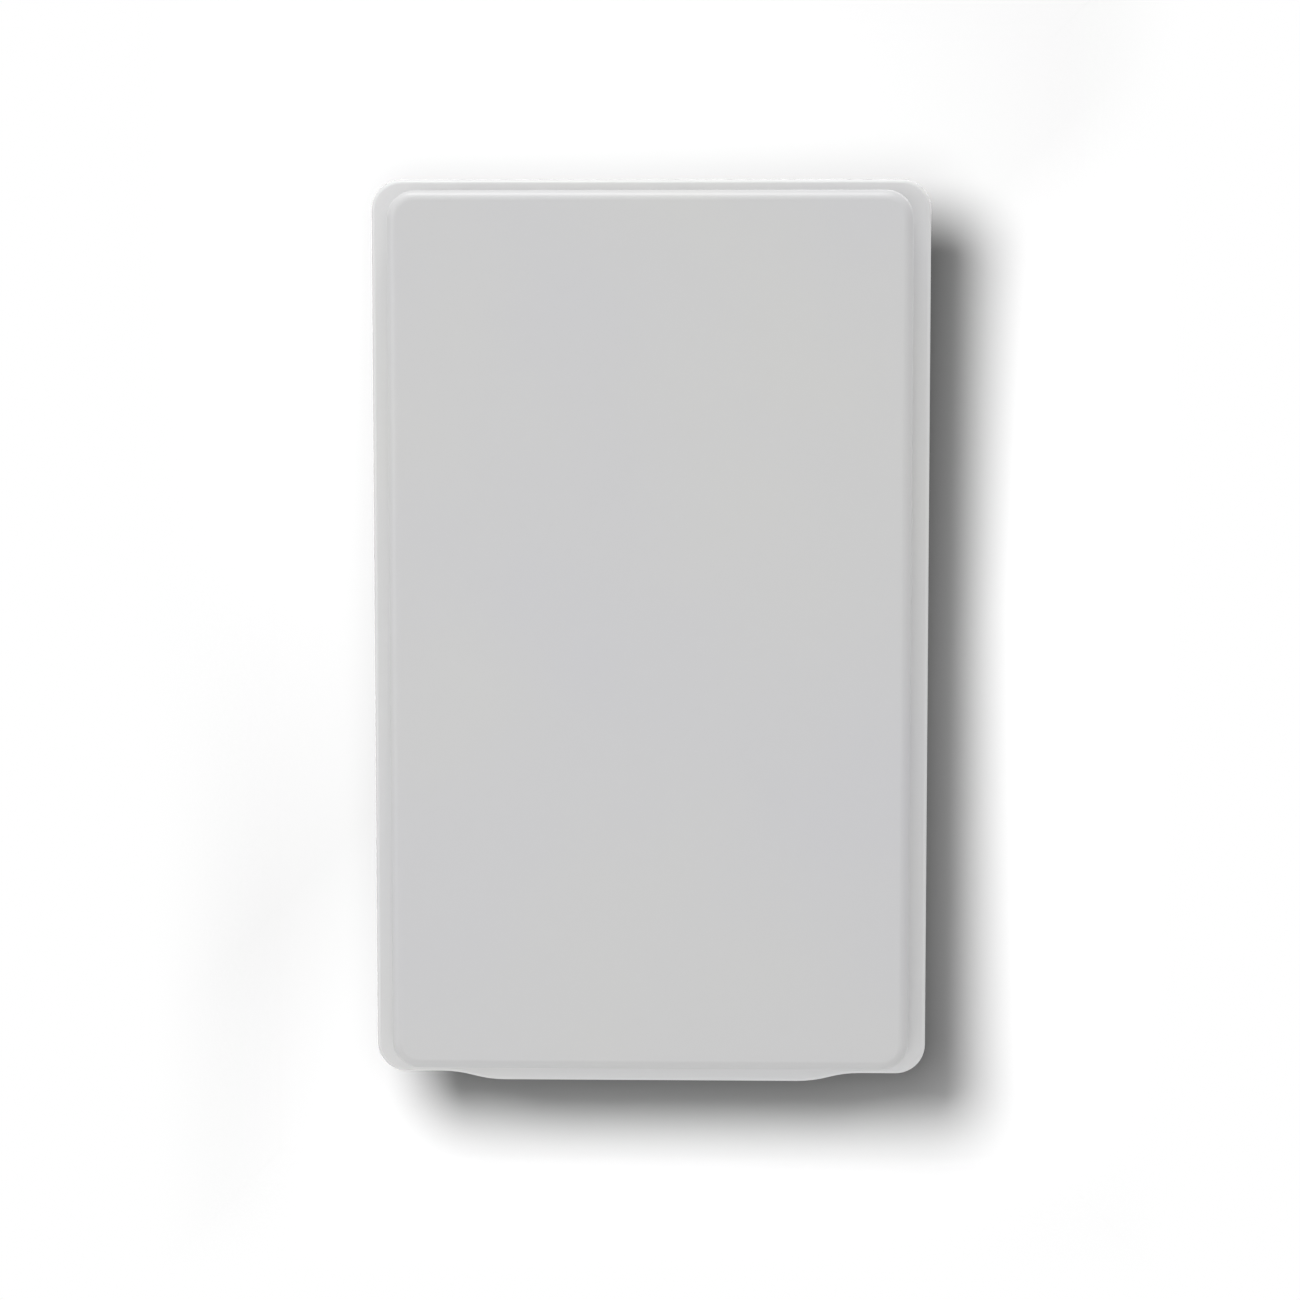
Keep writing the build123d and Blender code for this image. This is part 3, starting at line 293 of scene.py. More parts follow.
# the feed pins and contacts: a thin warm flash over copper
gold = finish(
    "copper_gold_flashed",
    ("#e2bb66", "#e8c679"),
    drift_mm=3.0,
    grain_mm=0.3,
    bump_mm=0.003,
    roughness=(0.16, 0.26),
    Metallic=1.0,
)
# the driven patches and inserts: yellow with fine lines from the rolls
brass = finish(
    "brass_rolled",
    ("#d6b264", "#dfbd74"),
    drift_mm=18.0,
    grain_mm=0.4,
    bump_mm=0.004,
    roughness=(0.24, 0.36),
    stretch=(1, 1, 0.03),
    Metallic=1.0,
)
# the board's tracks: pinkish and evenly satin
copper = finish(
    "copper_etched_bright",
    ("#d48b66", "#dd9a78"),
    drift_mm=6.0,
    grain_mm=0.4,
    bump_mm=0.003,
    roughness=(0.26, 0.38),
    Metallic=1.0,
)
# the reflector and director discs: pale, with long fine lines from the rolls
aluminium = finish(
    "aluminium_sheet_mill_finish",
    ("#d3d4d6", "#dadbdc"),
    drift_mm=30.0,
    grain_mm=0.35,
    bump_mm=0.004,
    roughness=(0.28, 0.42),
    stretch=(1, 1, 0.02),
    Metallic=1.0,
)

# %% [markdown]
# ## Feed board
#
# The feed board is glass cloth in resin under a green varnish.  The cloth's weave still shows through
# as a faint square pattern, drawn about 1.6 mm from thread to thread, which is coarser than the real
# cloth, so that it still shows.  Two crossed wave textures draw it: where both threads are high the
# varnish is thinner and paler.

# %% Laminate
THREAD_MM = 1.578
WAVE_TURN = 20  # radians that a wave texture of scale 1 turns in one metre
laminate, tree, coords = new_material("glass_laminate_green_varnish")
bands = {"Vector": coords, "Scale": per_mm(THREAD_MM) * 2 * pi / WAVE_TURN}
waves = [add(tree, "TexWave", bands, bands_direction=axis) for axis in ("X", "Z")]
weave = add(
    tree,
    "Math",
    {0: waves[0].outputs["Fac"], 1: waves[1].outputs["Fac"]},
    operation="MULTIPLY",
)
varnish = add(
    tree,
    "Mix",
    {"Factor": weave.outputs[0], 6: linear("#24523a"), 7: linear("#356b4a")},
    data_type="RGBA",
)
relief = add(tree, "Bump", {"Height": weave.outputs[0], "Distance": 0.01 * MM}).outputs[0]
values = {"Base Color": varnish.outputs[2], "Roughness": 0.28, "IOR": 1.55, "Normal": relief}
close(tree, add(tree, "BsdfPrincipled", values))
print("materials", len(bpy.data.materials))

# %% [markdown]
# ## Give every CAD piece its finish
#
# The record names a material slot for each node.  One table says which finish stands for each slot,
# so a piece that is added later picks up its finish from the same place.

# %% Paint the frame
FINISHES = {
    "radome_plastic": asa_radome,
    "housing_plastic": asa_housing_painted_paler,
    "silicone": silicone,
    "black_rubber": rubber,
    "stainless": stainless,
    "zinc_steel": zinc,
    "bracket_steel": powder_coat,
    "sheet_aluminium": aluminium,
    "brass": brass,
    "copper": copper,
    "nickel": nickel,
    "laminate": laminate,
    "white_polymer": ptfe,
    "nylon": nylon,
    "cable_jacket": jacket,
    "gold": gold,
    "black_plastic": black_plastic,
}
slot_of = {part["node"]: part["material_slot"] for part in record["subparts"]}
body_of = {
    node: body for body, members in record["behaviour"]["bodies"].items() for node in members
}
for name, obj in nodes.items():
    obj.data.materials.clear()
    obj.data.materials.append(FINISHES[slot_of[name]])
print("painted", len(slot_of), "nodes in", len(FINISHES), "finishes")

# %% [markdown]
# ## How a modelled piece joins the frame
#
# A piece modelled here is a bmesh in the same metres as the CAD.  `settle` turns it into an object,
# smooths every edge that is rounder than 32 degrees, weighs its normals by face area so that flat
# faces stay flat beside a fillet, and says which CAD node it stands for, which body it moves with and
# which slot its finish comes from.


# %% Piece helpers
SMOOTH_ANGLE = radians(32)


def settle(name, mesh_builder, *stands_for):
    """Makes the piece from its bmesh and puts it in place of the nodes that it stands for."""
    first = stands_for[0]
    bmesh.ops.recalc_face_normals(mesh_builder, faces=mesh_builder.faces)
    for face in mesh_builder.faces:
        face.smooth = True
    for edge in mesh_builder.edges:
        edge.smooth = len(edge.link_faces) == 2 and edge.calc_face_angle(pi) < SMOOTH_ANGLE
    mesh = bpy.data.meshes.new(name)
    mesh_builder.to_mesh(mesh)
    mesh_builder.free()
    piece = bpy.data.objects.new(name, mesh)
    bpy.context.scene.collection.objects.link(piece)
    mesh.materials.append(FINISHES[slot_of[first]])
    even = piece.modifiers.new("even_normals", "WEIGHTED_NORMAL")
    even.keep_sharp = True
    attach(piece, body_of[first])
    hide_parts(*stands_for)
    print(name, "faces", len(mesh.polygons), "for", stands_for)
    return piece


def bevel(builder, edges, radius, segments=4):
    """Rounds edges with a circular bevel."""
    return bmesh.ops.bevel(
        builder,
        geom=edges,
        offset=radius,
        offset_type="OFFSET",
        affect="EDGES",
        segments=segments,
        profile=0.5,
        material=-1,
        clamp_overlap=True,
    )


# %% [markdown]
# ## Radome
#
# The cover is one moulding: a shallow box with rounded corners, a soft front edge that catches the
# light from above, and an open back that stands in the rim's groove.  A block is bevelled in two
# steps, first the four corner edges that run from front to back and then its whole front edge, so the
# two roundings blend as they do in a mould.  Solidify then gives the open skin its wall, inwards.

# %% Radome
RADOME_WALL = 2.5 * MM
COVER_CORNER = 6.5 * MM
FRONT_FILLET = 2.5 * MM
CORNER_STEPS = 14
FILLET_STEPS = 9
FLAT = 1e-6  # metres within which two points count as level
SKIN_MERGE = 0.01 * MM  # corners of the skin that are closer than this are one
low, high = (Vector(corner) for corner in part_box("radome"))
high.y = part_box("perimeter_seal")[0].y  # the skin ends on the seal, and only bosses reach past it


def rounded_block(builder, low, high, corner, fillet):
    """A block rounded at its four corners and round its front face, and open at the back."""
    cube = bmesh.ops.create_cube(builder, size=1.0)["verts"]
    bmesh.ops.scale(builder, verts=cube, vec=high - low)
    bmesh.ops.translate(builder, verts=cube, vec=(high + low) / 2)
    corners = [
        edge for edge in builder.edges if abs(edge.verts[0].co.y - edge.verts[1].co.y) > FLAT
    ]
    bevel(builder, corners, corner, CORNER_STEPS)
    back = [face for face in builder.faces if face.normal.y > 0.9]
    bmesh.ops.delete(builder, geom=back, context="FACES_ONLY")
    front = [
        edge
        for edge in builder.edges
        if all(abs(vert.co.y - low.y) < FLAT for vert in edge.verts)
    ]
    bevel(builder, front, fillet, FILLET_STEPS)


builder = bmesh.new()
rounded_block(builder, low, high, COVER_CORNER, FRONT_FILLET)
bmesh.ops.recalc_face_normals(builder, faces=builder.faces)
if min(builder.faces, key=lambda face: face.calc_center_median().y).normal.y > 0:
    bmesh.ops.reverse_faces(builder, faces=builder.faces)
bmesh.ops.solidify(builder, geom=builder.faces, thickness=RADOME_WALL)
bmesh.ops.remove_doubles(builder, verts=builder.verts, dist=SKIN_MERGE)
depth = max(vert.co.y for vert in builder.verts) - min(vert.co.y for vert in builder.verts)
print("cover skin: open edges", sum(not edge.is_manifold for edge in builder.edges))
print("cover volume", round(builder.calc_volume(signed=True) * 1e9), "depth", round(depth, 4))

# %% [markdown]
# ## Round and hexagonal pieces
#
# Screws, nuts and the jack come from a lathe or from hexagon bar.  Both are built the same way here:
# a circle of edges is extruded again and again, and after each step the new ring is moved to its
# radius and height.  A hexagonal ring only pushes the circle out to the six flats.  Where its drop
# isn't 0, the ring's corners fall away at 30 degrees, which gives a nut its curved chamfer lines.

# %% Lathe and hexagon bar
CHAMFER_SLOPE = 0.577  # the tangent of 30 degrees
CHAMFER_FROM = 1.01  # times the flat's distance: the chamfer starts just outside the flat
POLE_R = 1e-3  # mm: a ring this small is merged to one point
SAME = 1e-7  # metres within which two points are one


def lofted(builder, rings, place, steps=72):
    """Extrudes a circle through rings of (radius, height) or (flat, height, drop) in mm, up Z."""
    made = bmesh.ops.create_circle(builder, segments=steps, radius=1.0)["verts"]
    ring_verts, loop = made, list({edge for vert in made for edge in vert.link_edges})
    first = ring_verts
    everything = list(made)
    for number, ring in enumerate(rings):
        if number:
            grown = bmesh.ops.extrude_edge_only(builder, edges=loop)["geom"]
            ring_verts = [item for item in grown if isinstance(item, bmesh.types.BMVert)]
            fresh = set(ring_verts)
            loop = [
                item
                for item in grown
                if isinstance(item, bmesh.types.BMEdge) and fresh.issuperset(item.verts)
            ]
            everything += ring_verts
        for vert in ring_verts:
            angle = atan2(vert.co.y, vert.co.x)
            radius, height = ring[0], ring[1]
            if len(ring) == 3:
                radius /= cos((angle + pi / 6) % (pi / 3) - pi / 6)
                height -= ring[2] * CHAMFER_SLOPE * max(0.0, radius - ring[0] * CHAMFER_FROM)
            radius = max(radius, POLE_R)
            vert.co = Vector((cos(angle) * radius, sin(angle) * radius, height)) * MM
    closed_ring = abs(ring_verts[0].co.xy.length - first[0].co.xy.length) < SAME
    if closed_ring and rings[0][1] == rings[-1][1]:
        bmesh.ops.remove_doubles(builder, verts=first + ring_verts, dist=SAME)
    for pole in (first, ring_verts):
        pole = [vert for vert in pole if vert.is_valid and vert.co.xy.length < 2 * POLE_R * MM]
        if pole:
            bmesh.ops.pointmerge(builder, verts=pole, merge_co=(0, 0, pole[0].co.z))
    whole = [vert for vert in everything if vert.is_valid]
    bmesh.ops.transform(builder, matrix=place, verts=whole)


# %% Screw thread
TOOTH_SHARE = 0.44  # half a tooth's foot, as a share of the pitch
CREST_SHARE = 0.2  # the crest's width, as a share of the foot's


def thread(builder, root, crest, pitch, low, high, place, steps=24):
    """A screw thread's ridge in mm: one tooth spun about Z, lifted as it turns, closed at its ends."""
    half = pitch * TOOTH_SHARE
    top = half * CREST_SHARE
    tooth = [(root, low - half), (crest, low - top), (crest, low + top), (root, low + half)]
    points = [builder.verts.new((radius * MM, 0.0, height * MM)) for radius, height in tooth]
    face = builder.faces.new(points)
    count = round((high - low) / pitch * steps)
    before = set(builder.verts) - set(points)
    bmesh.ops.spin(
        builder,
        geom=points + list(face.edges) + [face],
        cent=(0, 0, 0),
        axis=(0, 0, 1),
        dvec=(0, 0, (high - low) * MM / count),
        angle=2 * pi * count / steps,
        steps=count,
        use_merge=False,
        use_normal_flip=False,
        use_duplicate=False,
    )
    bmesh.ops.transform(builder, matrix=place, verts=list(set(builder.verts) - before))


# %% Blocks and places
def block(builder, size, middle, place):
    """A plain block of a given size and middle in mm."""
    made = bmesh.ops.create_cube(builder, size=1.0)["verts"]
    bmesh.ops.scale(builder, verts=made, vec=Vector(size) * MM)
    bmesh.ops.translate(builder, verts=made, vec=Vector(middle) * MM)
    bmesh.ops.transform(builder, matrix=place, verts=made)


def standing(x, y, z, way):
    """Puts a piece's foot at x, y, z metres with its own Z along one of the main axes."""
    turn = Vector(way).to_track_quat("Z", "Y").to_matrix().to_4x4()
    return Matrix.Translation((x, y, z)) @ turn


# %% [markdown]
# ## Bosses inside the radome
#
# Eight screw bosses stand inside the cover, each a tube tied to the side wall by a thin rib, and the
# screws reach them from the back of the housing.  They are turned and added to the same bmesh, so
# that they belong to the cover.  The sizes of turned pieces are in millimetres, as on a drawing.

# %% Bosses
BOSS_R = 3.5
BOSS_BORE = 1.55
BOSS_EDGE = 0.2
BOSS_ROWS = 4
BORE_SPARE = 1.0  # how far the bore goes on past the screw's point
SCREW_HEAD_R = 3.0
RIB_T = 1.6
RIB_START = 2.0  # from the boss's axis, inside its wall
RIB_GAP = 1.6  # from the seal to the rib
OVERLAP = 0.5
low, high = (Vector(corner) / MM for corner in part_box("radome"))
screw_low, screw_high = (Vector(corner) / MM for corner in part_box("radome_screws"))
boss_x, boss_z = screw_high.x - SCREW_HEAD_R, screw_high.z - SCREW_HEAD_R
boss_back = -high.y
boss_front = -low.y - RADOME_WALL / MM + OVERLAP
bore_end = -screw_low.y + BORE_SPARE - boss_back
rib_back = -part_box("perimeter_seal")[0].y / MM + RIB_GAP
wall_x = high.x - RADOME_WALL / MM / 2
rib_start = boss_x + RIB_START
for x in (-1, 1):
    for row in range(BOSS_ROWS):
        z = boss_z * (2 * row / (BOSS_ROWS - 1) - 1)
        place = standing(x * boss_x * MM, -boss_back * MM, z * MM, (0, -1, 0))
        tall = boss_front - boss_back
        lofted(
            builder,
            [
                (0.0, bore_end),
                (BOSS_BORE, bore_end),
                (BOSS_BORE, BOSS_EDGE),
                (BOSS_BORE + BOSS_EDGE, 0.0),
                (BOSS_R - BOSS_EDGE, 0.0),
                (BOSS_R, BOSS_EDGE),
                (BOSS_R, tall),
                (0.0, tall),
            ],
            place,
            32,
        )
        rib = (wall_x - rib_start, boss_front - rib_back, RIB_T)
        middle = (x * (wall_x + rib_start) / 2, -(boss_front + rib_back) / 2, z)
        block(builder, rib, middle, Matrix.Identity(4))
settle("radome_cover", builder, "radome")

# %% [markdown]
# ## Radio jack
#
# The jack is a type N socket, turned from brass and nickel plated.  Its 5/8 inch thread has 24 turns
# to the inch, so each turn is 1.058 mm, and a groove above it lets the plug's nut run up to the end.
# The thread is a real helix: one tooth, spun with a small lift at each step, on a turned core.

# %% Jack
JACK_PITCH = 1.058
JACK_CREST = 7.9
JACK_ROOT = 7.3
JACK_MOUTH = 4.8  # radius of the socket
JACK_DEEP = 15.5  # how far the socket goes in
JACK_SHANK = 7.94
JACK_FLANGE = 9.5
JACK_TAIL = 4.5
THREAD_LOW, THREAD_HIGH = 0.75, 10.4
THREAD_SUNK = 0.15  # how deep each tooth stands in its core
low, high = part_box("jack_body")
axis_y = (low.y + high.y) / 2
jack_place = standing(0, axis_y, low.z, (0, 0, 1))
builder = bmesh.new()
lofted(
    builder,
    [
        (0.0, JACK_DEEP),
        (JACK_MOUTH, JACK_DEEP),
        (JACK_MOUTH, 0.4),
        (5.2, 0.0),
        (6.7, 0.0),
        (JACK_ROOT, 0.6),
        (JACK_ROOT, 10.8),
        (7.5, 10.9),
        (7.5, 11.5),
        (JACK_SHANK, 11.6),
        (JACK_SHANK, 18.9),
        (JACK_FLANGE, 18.9),
        (JACK_FLANGE, 20.7),
        (9.3, 20.9),
        (JACK_TAIL, 20.9),
        (JACK_TAIL, 28.5),
        (4.1, 28.9),
        (0.0, 28.9),
    ],
    jack_place,
    96,
)
thread(
    builder,
    JACK_ROOT - THREAD_SUNK,
    JACK_CREST,
    JACK_PITCH,
    THREAD_LOW,
    THREAD_HIGH,
    jack_place,
    36,
)
settle("jack_threaded_body", builder, "jack_body")
print("jack thread turns", round((THREAD_HIGH - THREAD_LOW) / JACK_PITCH, 1))

# %% Jack nut
JACK_NUT_BORE = 7.99
JACK_NUT_FACE = 8.5
JACK_NUT_FLAT = 9.5
low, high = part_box("jack_nut")
height = (high.z - low.z) / MM
builder = bmesh.new()
lofted(
    builder,
    [
        (JACK_NUT_BORE, 0.5),
        (JACK_NUT_FACE, 0.0),
        (9.1, 0.0),
        (JACK_NUT_FLAT, 0.0, -1.0),
        (JACK_NUT_FLAT, height, 1.0),
        (9.1, height),
        (JACK_NUT_FACE, height),
        (JACK_NUT_BORE, height - 0.5),
        (JACK_NUT_BORE, 0.5),
    ],
    standing(0, axis_y, low.z, (0, 0, 1)),
    96,
)
settle("jack_hex_nut", builder, "jack_nut")
print("jack nut height", round(height, 2))

# %% [markdown]
# ## Carriage bolts
#
# Two pairs of M6 carriage bolts join the brackets.  A domed head and a square neck stand inside each
# wall ear, the neck sits in a square hole so that the bolt can't turn, and the threaded end comes out
# through a washer and a flange nut.  Each bolt is four closed forms on one axis: the dome, the square
# neck, the core and the helical ridge.

# %% Bolts
EAR_INNER = 29.0
BOLT_CREST = 2.97
BOLT_ROOT = 2.45
BOLT_PITCH = 1.0
HEAD_R = 6.5
HEAD_H = 3.3
HEAD_RIM = 0.5
DOME_STEPS = 10
NECK = (6.1, 6.1, 2.6)  # the square under the head
NECK_MIDDLE = 1.2
for name in ("pivot", "lock"):
    low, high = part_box(f"{name}_bolts")
    middle = (low + high) / 2
    length = high.x / MM - EAR_INNER
    builder = bmesh.new()
    for side in (-1, 1):
        place = standing(side * EAR_INNER * MM, middle.y, middle.z, (side, 0, 0))
        turn = [step * pi / 2 / DOME_STEPS for step in range(DOME_STEPS + 1)]
        dome = [(HEAD_R * sin(a), -HEAD_RIM - (HEAD_H - HEAD_RIM) * cos(a)) for a in turn]
        lofted(builder, dome + [(HEAD_R, -0.15), (HEAD_R - 0.15, 0.0), (0.0, 0.0)], place, 48)
        block(builder, NECK, (0, 0, NECK_MIDDLE), place)
        lofted(
            builder,
            [(0.0, 2.0), (BOLT_CREST, 2.0), (BOLT_CREST, 4.4), (BOLT_ROOT, 4.9)]
            + [(BOLT_ROOT, length - 0.5), (1.9, length), (0.0, length)],
            place,
            48,
        )
        tooth_root = BOLT_ROOT - THREAD_SUNK
        thread(builder, tooth_root, BOLT_CREST, BOLT_PITCH, 5.2, length - 0.75, place)
    settle(f"{name}_carriage_bolts", builder, f"{name}_bolts")
print("bolt length from ear", round(length, 2))

# %% [markdown]
# ## Flange nuts
#
# A flange nut is a hexagon with its washer forged on: the flange slopes up to the flats, the outer end
# is chamfered, and the bore has a small countersink where the bolt starts.

# %% Nuts
NUT_FLAT = 5.0
NUT_HEIGHT = 6.0
NUT_BORE = 3.05
FLANGE_R = 6.2
for name in ("pivot", "lock"):
    low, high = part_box(f"{name}_nuts")
    middle = (low + high) / 2
    builder = bmesh.new()
    for side in (-1, 1):
        foot = high.x - NUT_HEIGHT * MM
        place = standing(side * foot, middle.y, middle.z, (side, 0, 0))
        lofted(
            builder,
            [
                (NUT_BORE, 0.3),
                (3.35, 0.0),
                (6.1, 0.0),
                (FLANGE_R, 0.1),
                (FLANGE_R, 0.8),
                (6.05, 0.95),
                (5.8, 1.15),
                (NUT_FLAT, 1.5, 0.0),
                (NUT_FLAT, NUT_HEIGHT, 1.0),
                (4.75, NUT_HEIGHT),
                (3.5, NUT_HEIGHT),
                (NUT_BORE, NUT_HEIGHT - 0.4),
                (NUT_BORE, 0.3),
            ],
            place,
        )
    settle(f"{name}_flange_nuts", builder, f"{name}_nuts")

# %% [markdown]
# ## Hexagon screws of the upper bracket
#
# Four M5 screws hold the antenna's bracket to the brass inserts.  Their heads are the part that shows:
# a hexagon with a chamfered top, standing on a thin round washer face.

# %% Bracket screws
low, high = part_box("bracket_screws")
SCREW_FLAT = 4.0
SCREW_HEAD = 3.5
SCREW_R = 2.5
SCREW_REACH = 9.0
WASHER_R = 5.0
seat = high.y / MM - SCREW_HEAD
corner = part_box("bracket_washers")[1]
reach_x, reach_z = corner.x / MM - WASHER_R, corner.z / MM - WASHER_R
builder = bmesh.new()
for x in (-reach_x, reach_x):
    for z in (-reach_z, reach_z):
        place = standing(x * MM, seat * MM, z * MM, (0, -1, 0))
        lofted(
            builder,
            [
                (0.0, -SCREW_HEAD + 0.25),
                (2.2, -SCREW_HEAD + 0.25),
                (2.6, -SCREW_HEAD),
                (3.8, -SCREW_HEAD),
                (SCREW_FLAT, -SCREW_HEAD, -1.0),
                (SCREW_FLAT, -0.35, 0.0),
                (3.9, -0.35),
                (3.9, 0.0),
                (SCREW_R, 0.0),
                (SCREW_R, SCREW_REACH - 0.4),
                (2.1, SCREW_REACH),
                (0.0, SCREW_REACH),
            ],
            place,
        )
settle("bracket_hex_screws", builder, "bracket_screws")
print("bracket screws at", round(reach_x, 1), round(reach_z, 1), "seat", round(seat, 2))

# %% [markdown]
# ## Pressed brackets
#
# Sheet that has been punched, tumbled and powder coated has no sharp edge left.  The CAD brackets have
# the right shape, so each is copied, its loose triangles are merged and joined into whole faces, and
# every sharp edge gets a small round bevel that catches a line of light.

# %% Brackets
WALL_BRACKET_ROUND = 0.3 * MM
TILT_BRACKET_ROUND = 0.15 * MM
SHARP = radians(35)
LEVEL = radians(0.5)  # triangles that meet flatter than this are one face
TRIANGLE_MERGE = 2e-6


def softened(name, node, radius):
    """A copy of a CAD node with every sharp edge rounded."""
    builder = bmesh.new()
    builder.from_mesh(nodes[node].data)
    bmesh.ops.remove_doubles(builder, verts=builder.verts, dist=TRIANGLE_MERGE)
    bmesh.ops.dissolve_limit(
        builder,
        angle_limit=LEVEL,
        use_dissolve_boundaries=False,
        verts=builder.verts,
        edges=builder.edges,
        delimit=set(),
    )
    sharp = [edge for edge in builder.edges if edge.is_manifold and edge.calc_face_angle() > SHARP]
    bevel(builder, sharp, radius, 2)
    open_edges = sum(not edge.is_manifold for edge in builder.edges)
    print(name, "sharp edges", len(sharp), "open edges", open_edges)
    return settle(name, builder, node)


softened("wall_bracket_pressing", "wall_bracket", WALL_BRACKET_ROUND)
softened("tilt_bracket_pressing", "tilt_bracket", TILT_BRACKET_ROUND)

# %% [markdown]
# ## Camera
#
# The antenna is looked at almost straight on, from 0.8 m away, a little above its middle and a hair to
# its right, through a lens of about 93 mm.  The camera is aimed by a vector from its place to its
# target, turned into a rotation.

# %% Camera
FOCAL_MM = 93.4
SENSOR_MM = 36.0
DISTANCE = 0.7873
LOOK_YAW = radians(1.5)
LOOK_UP = radians(5.3)
target = Vector((0.0001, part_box("radome")[0][1], -0.0034))
stand = target + DISTANCE * Vector(
    (sin(LOOK_YAW) * cos(LOOK_UP), -cos(LOOK_YAW) * cos(LOOK_UP), sin(LOOK_UP))
)
lens = bpy.data.cameras.new("camera")
lens.lens = FOCAL_MM
lens.sensor_width = SENSOR_MM
lens.clip_start = 0.01
lens.clip_end = 50.0
camera = bpy.data.objects.new("camera", lens)
bpy.context.scene.collection.objects.link(camera)
aim = (target - stand).to_track_quat("-Z", "Y").to_matrix().to_4x4()
camera.matrix_world = Matrix.Translation(stand) @ aim
bpy.context.scene.camera = camera
bpy.context.scene.view_settings.view_transform = "Standard"
print("camera at", [round(v, 3) for v in stand])

# %% [markdown]
# ## Stage: a wall card and a pale floor
#
# The bracket hangs on a wall, so a card stands just behind the wall plate and takes the antenna's
# shadow.  Its paint is a mid grey that strong lamps of its own bring up to near white.  At the upper
# left, where the main one is nearest, it is painted a little darker: a painted shade that deepens the
# faint halo round the antenna's upper and left edges.  A pale floor lies well below.  Both are clear
# from behind, so that the bracket and the underside can be looked at, and both fade to plain white
# away from the object, where only the camera sees that glow.

# %% Stage sheet
def sheet_of(name, size, matrix, material):
    """A square sheet of the stage."""
    builder = bmesh.new()
    bmesh.ops.create_grid(builder, x_segments=1, y_segments=1, size=size / 2)
    mesh = bpy.data.meshes.new(name)
    builder.to_mesh(mesh)
    builder.free()
    mesh.transform(matrix)
    mesh.materials.append(material)
    sheet = bpy.data.objects.new(name, mesh)
    bpy.context.scene.collection.objects.link(sheet)
    return sheet


# %% Stage paint
PAINTED_SHADE_FROM, PAINTED_SHADE_TO = -0.02, 0.09  # the painted shade changes between these metres of one axis less the other


def stage_material(name, painted_shade_tones, axes, clear, fade):
    """Matt paint with a painted shade from one tone to the other, clear from behind, that glows white
    to the camera away from the middle.
    """
    made, tree, coords = new_material(name)
    split = add(tree, "SeparateXYZ", {"Vector": coords}).outputs
    # the paint runs from the first tone to the second along one axis less the other: on the card this
    # is a painted shade, darker at the upper left
    shade_slant = add(tree, "Math", {0: split[axes[0]], 1: split[axes[1]]}, operation="SUBTRACT")
    shade_range = {"Value": shade_slant.outputs[0], "From Min": PAINTED_SHADE_FROM, "From Max": PAINTED_SHADE_TO}
    side = add(tree, "MapRange", shade_range)
    tint = add(
        tree,
        "Mix",
        {"Factor": side.outputs[0], 6: linear(painted_shade_tones[0]), 7: linear(painted_shade_tones[1])},
        data_type="RGBA",
    )
    reach = []
    for axis, start in zip(axes, clear):
        size = add(tree, "Math", {0: split[axis]}, operation="ABSOLUTE")
        reach.append(add(tree, "Math", {0: size.outputs[0], 1: start}, operation="SUBTRACT"))
    far = add(
        tree, "Math", {0: reach[0].outputs[0], 1: reach[1].outputs[0]}, operation="MAXIMUM"
    )
    glow = add(
        tree,
        "MapRange",
        {"Value": far.outputs[0], "From Min": 0.0, "From Max": fade},
        interpolation_type="SMOOTHSTEP",
    )
    path = add(tree, "LightPath").outputs
    seen = add(
        tree, "Math", {0: glow.outputs[0], 1: path["Is Camera Ray"]}, operation="MULTIPLY"
    )
    paint = add(tree, "BsdfDiffuse", {"Color": tint.outputs[2]})
    white = add(tree, "Emission", {"Color": linear("#ffffff")})
    mixed = add(tree, "MixShader", {0: seen.outputs[0], 1: paint.outputs[0], 2: white.outputs[0]})
    behind = add(tree, "NewGeometry").outputs["Backfacing"]
    clear_back = add(tree, "BsdfTransparent")
    close(tree, add(tree, "MixShader", {0: behind, 1: mixed.outputs[0], 2: clear_back.outputs[0]}))
    return made


# %% Wall card
CARD_GAP = 1.5 * MM
CARD_SIZE = 1.1
CARD_PAINTED_SHADE_TONES = ("#575757", "#626262")  # the painted shade at the upper left, and the plain tone at the lower right
CARD_CLEAR = (0.100, 0.145)  # metres from the middle where the card starts to fade to white
CARD_FADE = 0.035
card_paint_with_painted_shade = stage_material("card_matt_paint_with_painted_shade", CARD_PAINTED_SHADE_TONES, ("X", "Z"), CARD_CLEAR, CARD_FADE)
card = sheet_of(
    "wall_card",
    CARD_SIZE,
    Matrix.Translation((0, CARD_GAP, 0)) @ Matrix.Rotation(radians(90), 4, "X"),
    card_paint_with_painted_shade,
)
card.visible_diffuse = False
card.visible_glossy = False
card.visible_transmission = False
card.visible_shadow = False

# %% Floor
FLOOR_DEPTH = -0.42
FLOOR_SIZE = 8.0
FLOOR_TONES = ("#e6e6e6", "#e6e6e6")
FLOOR_CLEAR = (0.25, 0.25)
FLOOR_FADE = 0.9
floor_paint = stage_material("floor_matt_paint", FLOOR_TONES, ("X", "Y"), FLOOR_CLEAR, FLOOR_FADE)
floor = sheet_of("floor", FLOOR_SIZE, Matrix.Translation((0, 0, FLOOR_DEPTH)), floor_paint)
print("stage", card.name, floor.name)
